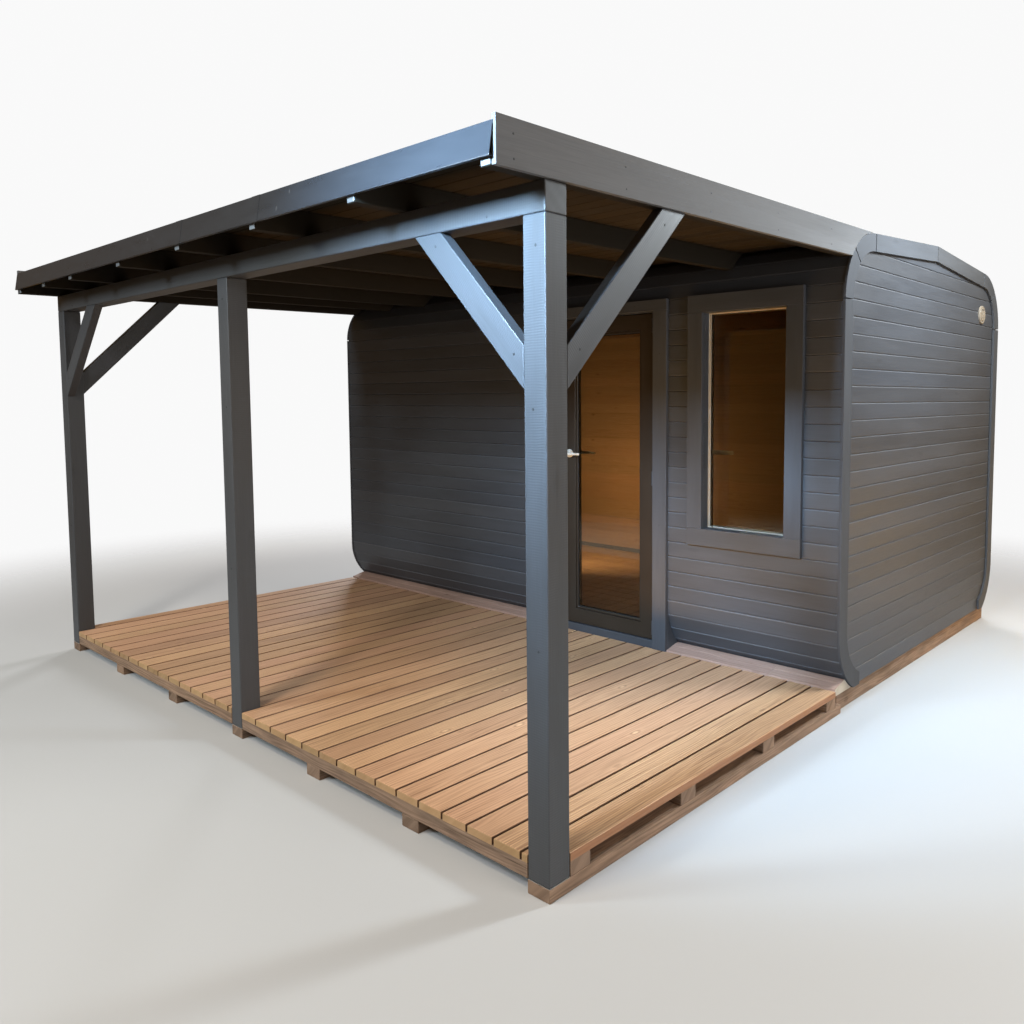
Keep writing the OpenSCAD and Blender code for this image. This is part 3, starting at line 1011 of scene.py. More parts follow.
@dataclass(frozen=True)
class MineralFelt(Finish):
    """Black roofing felt with mineral granules."""

    name: str
    colour: Colour
    grit: Colour

    def shade(self, graph: Graph) -> None:
        """Build the nodes of the finish.

        Args:
            graph: The material's node tree.
        """
        place = graph.place()
        grain = graph.noise(place, 520.0, 3)
        sweep = graph.noise(place, 1.7, 4)
        speckle = graph.ramp(grain, [(0.45, self.colour), (0.68, self.grit)])
        graph.surface(
            Base_Color=graph.scale(speckle, graph.total((0.7, sweep), (0.65, 1.0))),
            Roughness=0.92, Specular_IOR_Level=0.3)
        graph.bump(graph.total((0.7, grain), (0.3, sweep)), 0.0015, 0.7)


@dataclass(frozen=True)
class CoatedSheet(Finish):
    """Glossy coated steel sheet, a little wavy from folding, with a few scuffs."""

    name: str
    colour: Colour
    scuff: Colour

    def shade(self, graph: Graph) -> None:
        """Build the nodes of the finish.

        Args:
            graph: The material's node tree.
        """
        wave = graph.noise(graph.drawn(1.7, 3.0), 1.0, 1)
        smear = graph.noise(graph.drawn(7.0, 30.0), 1.0, 4)
        nick = graph.span(graph.cells(graph.drawn(3.2, 1.0), 5.0), 0.03, 0.06, 1.0, 0.0)
        base = graph.scale(self.colour, graph.total((0.3, smear), (0.85, 1.0)))
        graph.surface(
            Base_Color=graph.mix(graph.times(nick, 0.6), base, self.scuff),
            Specular_IOR_Level=0.35,
            Roughness=graph.total((0.1, smear), (0.2, nick), (0.24, 1.0)))
        graph.bump(wave, 0.003, 0.2)


@dataclass(frozen=True)
class SatinMetal(Finish):
    """Satin steel with fine brush lines."""

    name: str
    colour: Colour
    rough: float = 0.3

    def shade(self, graph: Graph) -> None:
        """Build the nodes of the finish.

        Args:
            graph: The material's node tree.
        """
        brush = graph.noise(graph.drawn(120.0, 900.0), 1.0, 3)
        graph.surface(
            Base_Color=graph.scale(self.colour, graph.total((0.3, brush), (0.85, 1.0))),
            Metallic=1.0,
            Roughness=graph.total((0.2, brush), (self.rough - 0.1, 1.0)))
        graph.bump(brush, 0.0003, 0.3)


@dataclass(frozen=True)
class SatinLacquer(Finish):
    """Satin lacquer or moulded rubber with a faint orange-peel skin."""

    name: str
    colour: Colour
    rough: float = 0.38

    def shade(self, graph: Graph) -> None:
        """Build the nodes of the finish.

        Args:
            graph: The material's node tree.
        """
        place = graph.place()
        peel = graph.noise(place, 340.0, 2)
        cloud = graph.noise(place, 5.0, 4)
        graph.surface(
            Base_Color=graph.scale(self.colour, graph.total((0.5, cloud), (0.1, peel), (0.7, 1.0))),
            Roughness=graph.total((0.16, cloud), (0.08, peel), (self.rough - 0.12, 1.0)))
        graph.bump(peel, 0.0004, 0.35)


@dataclass(frozen=True)
class TintedGlass(Finish):
    """Clear float glass with a bronze tint and a little haze."""

    name: str
    tint: Colour

    def shade(self, graph: Graph) -> None:
        """Build the nodes of the finish.

        Args:
            graph: The material's node tree.
        """
        haze = graph.noise(graph.place(), 3.0, 5)
        graph.surface(
            Base_Color=self.tint, Transmission_Weight=1.0, IOR=1.45,
            Roughness=graph.total((0.03, haze), (0.0, 1.0)))


@dataclass(frozen=True)
class PaleFloor(Finish):
    """Plain pale studio floor that fades into the surround."""

    name: str
    colour: Colour
    fade: tuple[float, float] = (3.4, 6.8)

    def shade(self, graph: Graph) -> None:
        """Build the nodes of the finish.

        Args:
            graph: The material's node tree.
        """
        x, y, _ = graph.parts(graph.place())
        squares = graph.total((1.0, graph.times(x, x)), (1.0, graph.times(y, y)))
        distance = graph.calc("SQRT", squares)
        graph.surface(Base_Color=self.colour, Roughness=0.9, Alpha=graph.span(distance, *self.fade, 1.0, 0.0))


PAINT = PaintedTimber("anthracite_paint", (0.046, 0.051, 0.061), (0.05, 0.051, 0.055), specular=0.4)
# Painted highlight: a lighter copy of the anthracite paint for the boards' upward-facing chamfers, standing
# in for light from above catching them
CHAMFER_HIGHLIGHT_PAINT = PaintedTimber("painted_chamfer_highlight", (0.086, 0.093, 0.107), (0.09, 0.091, 0.097), specular=0.4)
TRIM_PAINT = PaintedTimber(
    "anthracite_trim_paint", (0.062, 0.066, 0.074), (0.065, 0.065, 0.068), gloss=0.68, specular=0.15)
FASCIA_PAINT = PaintedTimber(
    "anthracite_fascia_paint", (0.138, 0.138, 0.141), (0.143, 0.139, 0.136), gloss=0.68, specular=0.15)
SAWN_PAINT = PaintedTimber("anthracite_paint_on_sawn", (0.048, 0.052, 0.059), (0.052, 0.052, 0.053), sawn=1.8)
# Painted shade: the terrace roof's boarding is coloured dark for the shade under the roof, with the warm
# light bounced up from the deck painted in as brown
SHADED_CEILING_PAINT = PaintedTimber(
    "painted_shade_ceiling", (0.027, 0.02, 0.012), (0.031, 0.021, 0.01), gloss=0.75, specular=0.12)
# Painted shade: the rafters are painted grey, but are coloured near black here to stand in for the shade
# under the terrace roof
SHADED_RAFTER_PAINT = PaintedTimber(
    "painted_shade_rafters", (0.018, 0.015, 0.011), (0.021, 0.016, 0.01), gloss=0.75, specular=0.12)
DECKING = BareTimber(
    "oiled_decking", (0.59, 0.358, 0.195), (0.25, 0.128, 0.066), (0.66, 0.43, 0.25), (0.53, 0.3, 0.18),
    ribs=0.6)
DECK_EDGE = BareTimber(
    "oiled_deck_edge", (0.36, 0.18, 0.09), (0.22, 0.1, 0.05), (0.12, 0.06, 0.03), (0.34, 0.165, 0.09))
# Painted shade: dark brown on the board sides that face into the gaps, standing in for the shade between the
# boards
SHADED_DECK_GAP = BareTimber(
    "painted_shade_deck_gap", (0.15, 0.075, 0.037), (0.09, 0.042, 0.021), (0.06, 0.03, 0.015), (0.14, 0.07, 0.037))
DECK_END = BareTimber(
    "oiled_deck_end", (0.42, 0.265, 0.125), (0.3, 0.175, 0.08), (0.2, 0.11, 0.05), (0.4, 0.24, 0.12))
BEARER = BareTimber(
    "brown_bearer", (0.3, 0.19, 0.122), (0.09, 0.054, 0.034), (0.06, 0.037, 0.025), (0.275, 0.185, 0.128),
    rough=0.8, weather=1.3)
BARE_PINE = BareTimber(
    "bare_pine", (0.34, 0.225, 0.13), (0.24, 0.14, 0.07), (0.13, 0.06, 0.028), (0.33, 0.2, 0.12), spread=0.16)
PALE_PINE = BareTimber(
    "pale_pine", (0.46, 0.41, 0.33), (0.34, 0.29, 0.22), (0.24, 0.17, 0.11), (0.45, 0.39, 0.32), spread=0.1)
PINK_PINE = BareTimber(
    "bare_pink_pine", (0.42, 0.28, 0.21), (0.25, 0.15, 0.108), (0.16, 0.09, 0.06), (0.4, 0.25, 0.2),
    spread=0.1)
BRONZE = SatinLacquer("bronze_lacquer", (0.022, 0.016, 0.011))
SEAL = SatinLacquer("black_seal", (0.008, 0.008, 0.008), 0.6)
GLASS = TintedGlass("bronze_glass", (0.86, 0.74, 0.56))
FELT = MineralFelt("mineral_felt", (0.012, 0.012, 0.013), (0.04, 0.04, 0.043))
SHEET = CoatedSheet("coated_sheet", (0.024, 0.027, 0.032), (0.1, 0.1, 0.1))
STEEL = SatinMetal("satin_steel", (0.55, 0.545, 0.53))
NICKEL = SatinLacquer("pale_nickel", (0.6, 0.58, 0.53), 0.4)
VENT_PINE = BareTimber(
    "vent_pine", (0.25, 0.215, 0.17), (0.17, 0.14, 0.105), (0.1, 0.07, 0.045), (0.24, 0.2, 0.16), spread=0.1)
ZINC = SatinMetal("dull_zinc", (0.24, 0.26, 0.28), 0.5)
HINGE = SatinMetal("grey_hinge", (0.12, 0.122, 0.13), 0.5)
SCREW = SatinLacquer("dark_screw", (0.012, 0.012, 0.013), 0.5)
FLOOR = PaleFloor("studio_floor", (0.5, 0.5, 0.5))


def dress(obj: Object, finish: Finish) -> Object:
    """Give a whole object one finish.

    Args:
        obj: The object.
        finish: The finish.

    Returns:
        The same object.
    """
    obj.data.materials.clear()
    obj.data.materials.append(finish.material())
    return obj


def finish_faces(obj: Object, finish: Finish, looking: Vector, least: float = 0.55) -> None:
    """Give the faces that look one way a finish of their own.

    Args:
        obj: An object that has its main finish.
        finish: The finish of those faces.
        looking: The way that those faces look.
        least: How closely they have to look that way.
    """
    obj.data.materials.append(finish.material())
    for face in obj.data.polygons:
        if face.normal.dot(looking) > least:
            face.material_index = len(obj.data.materials) - 1


def place(obj: Object, slot: Slot, nodes: Sequence[str] = (), body: Body = Body.CABIN) -> Object:
    """Hand a finished piece to the frame.

    Args:
        obj: The piece.
        slot: The record's material slot; not used.
        nodes: The nodes that it stands for.
        body: The body that it rides on.

    Returns:
        The same piece.
    """
    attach(obj, body.value)
    if nodes:
        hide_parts(*nodes)
    stands_for = ", ".join(nodes) or "detail"
    log.info("%s: %d faces on %s for %s", obj.name, len(obj.data.polygons), body.value, stands_for)
    return obj


@dataclass
class Timbers:
    """Solid timbers that keep the shape of their node, with broken edges and a grain of their own."""

    node: str
    name: str
    finish: Finish
    slot: Slot
    arris: float = SAWN_ARRIS
    steps: int = 2
    body: Body = Body.CABIN
    joint: float = 0.0

    def build(self) -> Object:
        """Make the timbers.

        Returns:
            The piece that stands for the node.
        """
        parts = Bench.loose(Bench.solid(self.node, self.name))
        for part in parts:
            direction = main_direction(part)
            if self.joint:
                Bench.shrink(part, self.joint / 2)
            Bench.arris(part, self.arris, self.steps)
            lay_grain(part, direction)
        obj = dress(Bench.join(parts, self.name), self.finish)
        Bench.smooth(obj)
        return place(obj, self.slot, [self.node], self.body)


@dataclass
class Board:
    """One board with a grooved outer face: X along it, its outer face at Y = 0, Z across it."""

    length: float
    width: float
    thickness: float
    finish: Finish
    edge: Union[Finish, None] = None
    groove: float = 0.009
    half_gap: float = 0.0009
    arris: float = 0.0045
    arris_steps: int = 2
    edge_lean: float = 0.9
    taper: float = 1.0

    def build(self, name: str) -> Object:
        """Model the board.

        Args:
            name: Name of the new object.

        Returns:
            The board.
        """
        obj = Bench.block(name, (0, 0, 0), (self.length, self.thickness, self.width))
        centre = (self.length / 2, 0, self.width / 2)
        Bench.slice(obj, (0, self.groove, 0), (0, 1, 0), keep_all=True)
        narrowed = 1 - 2 * self.half_gap / self.width
        Bench.resize(obj, lambda vertex: vertex.co.y < TINY, (1, 1, narrowed), centre)
        Bench.bevel(obj, self.arris, self.is_front_edge, self.arris_steps)
        if self.taper != 1.0:
            Bench.resize(obj, lambda vertex: vertex.co.y > self.thickness - TINY, (1, 1, self.taper), centre)
        dress(obj, self.finish)
        # Painted highlight: the chamfers that face up and out take the lighter paint, standing in for light
        # from above
        if self.edge:
            finish_faces(obj, self.edge, Vector((0, -1, 1)).normalized(), self.edge_lean)
        return obj

    @staticmethod
    def is_front_edge(edge: bmesh.types.BMEdge) -> bool:
        """Whether an edge is a long edge of the outer face."""
        first, last = (vertex.co for vertex in edge.verts)
        return max(first.y, last.y) < TINY and abs(first.x - last.x) > TINY


@dataclass
class Boarding:
    """A slab node shown as a row of grooved boards that are cut to the slab's outline."""

    node: str
    name: str
    finish: Finish
    slot: Slot
    width: float
    along: Vector
    outward: Vector
    anchor: Union[float, None] = None
    lining: Union[Finish, None] = None
    edge: Union[Finish, None] = None
    skin: float = 0.0004
    over: float = 0.02

    def build(self) -> Object:
        """Make the boards.

        Returns:
            The piece that stands for the node.
        """
        solid = Bench.solid(self.node, "outline")
        faces = [face for face in solid.data.polygons if face.normal.dot(self.outward) > FACING]
        inward = -max(faces, key=lambda face: face.area).normal
        turn = Matrix((self.along, inward, self.along.cross(inward))).transposed()
        points = [turn.inverted() @ vertex.co for vertex in solid.data.vertices]
        low = [min(point[i] for point in points) for i in range(3)]
        high = [max(point[i] for point in points) for i in range(3)]
        start = low[2]
        if self.anchor is not None:
            start = self.anchor - math.ceil((self.anchor - low[2]) / self.width) * self.width
        length = high[0] - low[0] + 2 * self.over
        thickness = high[1] - low[1] - 2 * self.skin
        pattern = Board(length, self.width, thickness, self.finish, self.edge).build(self.name)
        made = []
        for row in range(math.ceil((high[2] - start) / self.width)):
            spot = turn @ Vector((low[0] - self.over, low[1] + self.skin, start + row * self.width))
            board = Bench.copy(pattern, Matrix.Translation(spot) @ turn.to_4x4())
            Bench.carve(board, Bench.copy(solid, Matrix()), "INTERSECT")
            if board.data.polygons:
                lay_grain(board, self.along)
                made.append(board)
            else:
                Bench.drop(board)
        Bench.drop(pattern)
        Bench.drop(solid)
        obj = Bench.join(made, self.name)
        if self.lining:
            finish_faces(obj, self.lining, inward)
        return place(obj, self.slot, [self.node])


@dataclass
class Fasteners:
    """Screw or nail heads of one kind, a little proud of the timber."""

    name: str
    radius: float = 0.0045
    proud: float = 0.0008
    sink: float = 0.003
    recess: float = 0.45
    recess_depth: float = 0.5
    sides: int = 12
    body: Body = Body.CABIN

    def build(self, spots: Sequence[Spot]) -> Object:
        """Set one head at each spot.

        Args:
            spots: Pairs of a point on the timber and the way that the head looks.

        Returns:
            The heads as one piece.
        """
        pattern = Bench.disc(self.name, self.radius, self.sink + self.proud, self.sides)
        Bench.bevel(pattern, self.proud, above(self.sink + self.proud - TINY))
        Bench.select(pattern, "FACE", is_disc_top)
        Bench.step(self.recess * self.radius, -self.recess_depth * self.sink)
        Bench.done()
        made = []
        for spot, way in spots:
            turn = way.to_track_quat("Z", "X").to_matrix().to_4x4()
            made.append(Bench.copy(pattern, Matrix.Translation(spot - way * self.sink) @ turn))
        Bench.drop(pattern)
        return place(dress(Bench.join(made, self.name), SCREW), Slot.STEEL, body=self.body)


@dataclass
class SealedUnit:
    """Two panes with a spacer bar, a gasket and a glazing bead on each side."""

    node: str
    name: str
    bead_finish: Finish
    bead_slot: Slot
    body: Body = Body.CABIN
    pane: float = 0.004
    spacer: float = 0.011
    gasket: float = 0.0035
    bead: float = 0.014
    bead_depth: float = 0.009
    gap: float = 0.0006
    pane_arris: float = 0.0006
    bead_arris: float = 0.0025

    def build(self) -> None:
        """Make the unit and what holds it."""
        low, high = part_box(self.node)
        panes = []
        for front in (low.y, high.y - self.pane):
            pane = Bench.block(self.name, (low.x, front, low.z), (high.x, front + self.pane, high.z))
            Bench.arris(pane, self.pane_arris)
            panes.append(pane)
        place(dress(Bench.join(panes, self.name), GLASS), Slot.GLASS, [self.node], self.body)
        inner_low = (low.x, low.y + self.pane + self.gap, low.z)
        inner_high = (high.x, high.y - self.pane - self.gap, high.z)
        spacer = Bench.frame(self.name + "_spacer", inner_low, inner_high, self.spacer)
        place(dress(spacer, STEEL), Slot.STEEL, body=self.body)
        beads, gaskets = [], []
        for face, way in ((low.y, -1), (high.y, 1)):
            near, far = face + way * self.gap, face + way * (self.gap + self.bead_depth)
            ends = (min(near, far), max(near, far))
            bead = Bench.frame(
                self.name, (low.x, ends[0], low.z), (high.x, ends[1], high.z), self.bead)
            Bench.arris(bead, self.bead_arris, 2)
            lay_grain(bead, UP)
            beads.append(bead)
            lip = face + way * (self.gap + self.gasket)
            ends = (min(near, lip), max(near, lip))
            edge = self.bead - self.gasket
            shift = Vector((edge, 0, edge))
            gaskets.append(Bench.frame(
                self.name, Vector((low.x, ends[0], low.z)) + shift, Vector((high.x, ends[1], high.z)) - shift,
                2 * self.gasket))
        beads = dress(Bench.join(beads, self.name + "_beads"), self.bead_finish)
        place(beads, self.bead_slot, body=self.body)
        place(dress(Bench.join(gaskets, self.name + "_gaskets"), SEAL), Slot.SHEET, body=self.body)


@dataclass
class FeltStrips:
    """Roofing felt in strips that lap each other."""

    node: str
    name: str
    smooth_deg: Union[float, None] = None
    width: float = 1.0
    lap: float = 0.1
    proud: float = 0.0015

    def build(self) -> None:
        """Make the strips."""
        solid = Bench.solid(self.node, self.name)
        low, high = extent(solid)
        count = round((high.x - low.x) / self.width)
        joints = [low.x + i * (high.x - low.x) / count for i in range(1, count)]
        laps = [Bench.lap(solid, joint - self.lap, joint, self.proud) for joint in joints]
        obj = dress(Bench.join([solid, *laps], self.name), FELT)
        if self.smooth_deg:
            Bench.smooth(obj, self.smooth_deg)
        place(obj, Slot.FELT, [self.node])


@dataclass
class CabinShell:
    """The cabin's boarded walls, curved corners, roof and floor."""

    radius: float = 0.35
    pitch: float = 0.0854
    first_groove: float = 2.051
    end_pitch: float = 0.0857
    end_groove: float = 2.072
    slope_turn: float = math.radians(86.35)
    ceiling_board: float = 0.09
    floor_board: float = 0.12
    rows_above: int = 8
    end_room: tuple[float, float] = (0.01, 0.03)
    least_lean: float = 0.002
    trim_joint: float = 0.004
    foot_joint: float = 1.725
    foot_gap: float = 0.0015
    foot_crease: float = 0.062
    crease_width: float = 0.004
    crease_depth: float = 0.006

    def __post_init__(self) -> None:
        """Read the shell's places from the frame."""
        self.wall_low, self.wall_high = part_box("front_wall")
        self.back_low, self.back_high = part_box("back_wall")
        self.foot_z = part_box("front_foot")[0].z
        self.thickness = self.wall_high.y - self.wall_low.y
        self.rows = [Grain.pick() for _ in self.grooves()]

    def point(self, run: float) -> Vector:
        """A point of the front wall's outer face.

        Args:
            run: Length along the profile from the spring of the bottom arc, upwards.

        Returns:
            The point at x = 0.
        """
        straight = self.wall_high.z - self.wall_low.z
        past = min(run, 0.0) + max(run - straight, 0.0)
        turn = abs(past) / self.radius
        base = self.wall_low.z + min(max(run, 0.0), straight)
        rise = math.copysign(self.radius * math.sin(turn), past)
        return Vector((0, self.wall_low.y + self.radius * (1 - math.cos(turn)), base + rise))

    def grooves(self) -> list[float]:
        """Places of the grooves along the profile, with the two ends of the boarding.

        Returns:
            Lengths along the profile.
        """
        turn = math.asin((self.wall_low.z - self.foot_z) / self.radius)
        low = -turn * self.radius
        high = self.wall_high.z - self.wall_low.z + self.slope_turn * self.radius
        first = self.first_groove - self.wall_low.z
        count = math.floor((first - low) / self.pitch)
        runs = [first + i * self.pitch for i in range(-count, self.rows_above)]
        foot_room, head_room = self.end_room
        return [low, *[run for run in runs if low + foot_room < run < high - head_room], high]

    def strip(self, name: str, left: float, right: float, back: bool = False) -> Object:
        """Boards from the foot to the roof between two places along X.

        Args:
            name: Name of the new object.
            left: Left end.
            right: Right end.
            back: On the back wall instead of the front wall.

        Returns:
            The boards as one object.
        """
        runs = self.grooves()
        patterns: dict[tuple[float, float], Object] = {}
        made = []
        for low, high, grain in zip(runs, runs[1:], self.rows):
            foot, head = self.point(low), self.point(high)
            rise = head - foot
            curved = abs(rise.y) > self.least_lean
            taper = 1 - self.thickness / self.radius if curved else 1.0
            key = (round(rise.length, 4), taper)
            if key not in patterns:
                patterns[key] = Board(
                    right - left, rise.length, self.thickness, PAINT, CHAMFER_HIGHLIGHT_PAINT, taper=taper).build(name)
            lean = Matrix.Rotation(-math.atan2(rise.y, rise.z), 4, "X")
            if back:
                spot = Vector((right, self.back_high.y - (foot.y - self.wall_low.y), foot.z))
                stand = Matrix.Translation(spot) @ Matrix.Rotation(math.pi, 4, "Z") @ lean
            else:
                stand = Matrix.Translation(foot + Vector((left, 0, 0))) @ lean
            board = Bench.copy(patterns[key], stand)
            lay_grain(board, RIGHT, grain)
            made.append(board)
        for pattern in patterns.values():
            Bench.drop(pattern)
        return Bench.join(made, name)

    def finish_wall(self, obj: Object, inwards: Vector, nodes: Sequence[str]) -> None:
        """Leave a painted wall bare inside and hand it over.

        Args:
            obj: The wall's boards.
            inwards: The way to the room.
            nodes: The nodes that it stands for.
        """
        finish_faces(obj, BARE_PINE, inwards)
        place(obj, Slot.PAINT, nodes)

    def front(self) -> None:
        """Boards of the front wall, cut round the door and the window."""
        spans = [(low.x, high.x) for low, high in solids_of("front_wall")]
        panels = sorted(solids_of("window_panels"), key=lambda box: box[0].z)
        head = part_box("door_frame")[1].z
        strips = [self.strip("front_boards", *span) for span in spans]
        for panel, normal in zip(panels, (1, -1)):
            strip = self.strip("front_boards", spans[1][1], spans[2][0])
            edge = panel[1].z if normal > 0 else panel[0].z
            Bench.slice(strip, (0, 0, edge), (0, 0, normal))
            strips.append(strip)
        over_door = self.strip("front_boards", spans[0][1], spans[1][0])
        Bench.slice(over_door, (0, 0, head), (0, 0, -1))
        strips.append(over_door)
        obj = Bench.join(strips, "front_boards")
        self.finish_wall(
            obj, BACK, ["front_wall", "window_panels", "front_foot", "front_top_corner"])

    def back(self) -> None:
        """Boards of the back wall."""
        obj = self.strip("back_boards", self.back_low.x, self.back_high.x, back=True)
        self.finish_wall(obj, FRONT, ["back_wall", "back_foot", "back_top_corner"])

    def end(self, node: str, name: str, side: int) -> None:
        """Boards of an end wall, cut to the shell's profile.

        Args:
            node: The end wall's node.
            name: Name of the piece.
            side: 1 on the right, -1 on the left.
        """
        Boarding(
            node, name, PAINT, Slot.PAINT, self.end_pitch, Vector((0, side, 0)), Vector((side, 0, 0)),
            anchor=self.end_groove, lining=BARE_PINE, edge=CHAMFER_HIGHLIGHT_PAINT).build()

    def foot(self) -> None:
        """The board between deck and wall: two lengths with a crease along them and a bare end."""
        made = []
        for way, gap in ((-1, 0.0), (1, self.foot_gap)):
            board = Bench.solid("foot_board", "foot_boards")
            low, high = extent(board)
            Bench.slice(board, (self.foot_joint + gap, 0, 0), (-way, 0, 0))
            crease = low.y + self.foot_crease
            for y in (crease - self.crease_width, crease, crease + self.crease_width):
                Bench.slice(board, (0, y, 0), (0, 1, 0), keep_all=True)
            sunk = high.z - self.crease_depth
            Bench.resize(
                board,
                lambda vertex: abs(vertex.co.y - crease) < TINY and vertex.co.z > low.z + self.crease_depth,
                (1, 1, 0), (0, crease, sunk))
            lay_grain(board, RIGHT)
            made.append(board)
        obj = dress(Bench.join(made, "foot_boards"), PINK_PINE)
        finish_faces(obj, PALE_PINE, RIGHT, FACING)
        place(obj, Slot.PALE, ["foot_board"])

    def build(self) -> None:
        """Make all of the shell."""
        self.front()
        self.back()
        self.end("end_wall_left", "end_boards_left", -1)
        self.end("end_wall_right", "end_boards_right", 1)
        for node in ("end_trim_left", "end_trim_right"):
            Timbers(node, node + "_boards", TRIM_PAINT, Slot.PAINT, TRIM_ARRIS, joint=self.trim_joint).build()
        for node in ("roof_front_slope", "roof_back_slope"):
            Boarding(
                node, node + "_boards", BARE_PINE, Slot.PALE, self.ceiling_board, RIGHT,
                DOWN).build()
        Boarding(
            "cabin_floor", "floor_boards", BARE_PINE, Slot.PALE, self.floor_board, RIGHT,
            UP).build()
        self.foot()
        Timbers("base_side_beams", "base_side_timbers", BEARER, Slot.FRAME).build()
        Timbers("base_cross_beams", "base_cross_timbers", BEARER, Slot.FRAME).build()
        FeltStrips("roof_felt", "cabin_felt", BENT_SMOOTH_DEG).build()


@dataclass
class Deck:
    """The terrace deck: loose boards on joists and skids."""

    board: float = 0.1224
    gap: float = 0.0102
    full_boards: int = 30
    shift: float = -0.017
    arris: float = 0.004
    arris_steps: int = 2
    edge_lean: float = 0.8
    clearance: float = 0.003

    def boards(self) -> None:
        """Deck boards from left to right, the outer ones ripped to fit, notched round the posts."""
        low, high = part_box("deck_boards")
        pitch = self.board + self.gap
        ripped = (high.x - low.x - self.full_boards * pitch - self.gap) / 2
        made = []
        left = low.x
        for width in [ripped + self.shift, *[self.board] * self.full_boards, ripped - self.shift]:
            board = Bench.block("deck_board", (left, low.y, low.z), (left + width, high.y, high.z))
            Bench.bevel(board, self.arris, above(high.z - TINY), self.arris_steps)
            lay_grain(board, BACK)
            made.append(dress(board, DECKING))
            left += width + self.gap
        for board in made:
            # The sides facing the gaps take painted shade; the outer sides of the outermost boards keep the
            # oiled edge
            for way, outer in ((LEFT, made[0]), (RIGHT, made[-1])):
                finish_faces(board, DECK_EDGE if board is outer else SHADED_DECK_GAP, way, self.edge_lean)
        obj = Bench.join(made, "deck_planks")
        for post_low, post_high in solids_of("posts"):
            room = Vector((self.clearance, self.clearance, 0))
            Bench.carve(obj, Bench.block("notch", post_low - room, post_high + room), "DIFFERENCE")
        for way in (FRONT, BACK):
            finish_faces(obj, DECK_END, way, self.edge_lean)
        place(obj, Slot.DECK, ["deck_boards"])

    def build(self) -> None:
        """Make the deck."""
        self.boards()
        for node in ("deck_joists", "deck_skids", "deck_rim"):
            Timbers(node, node + "_timbers", BEARER, Slot.FRAME).build()


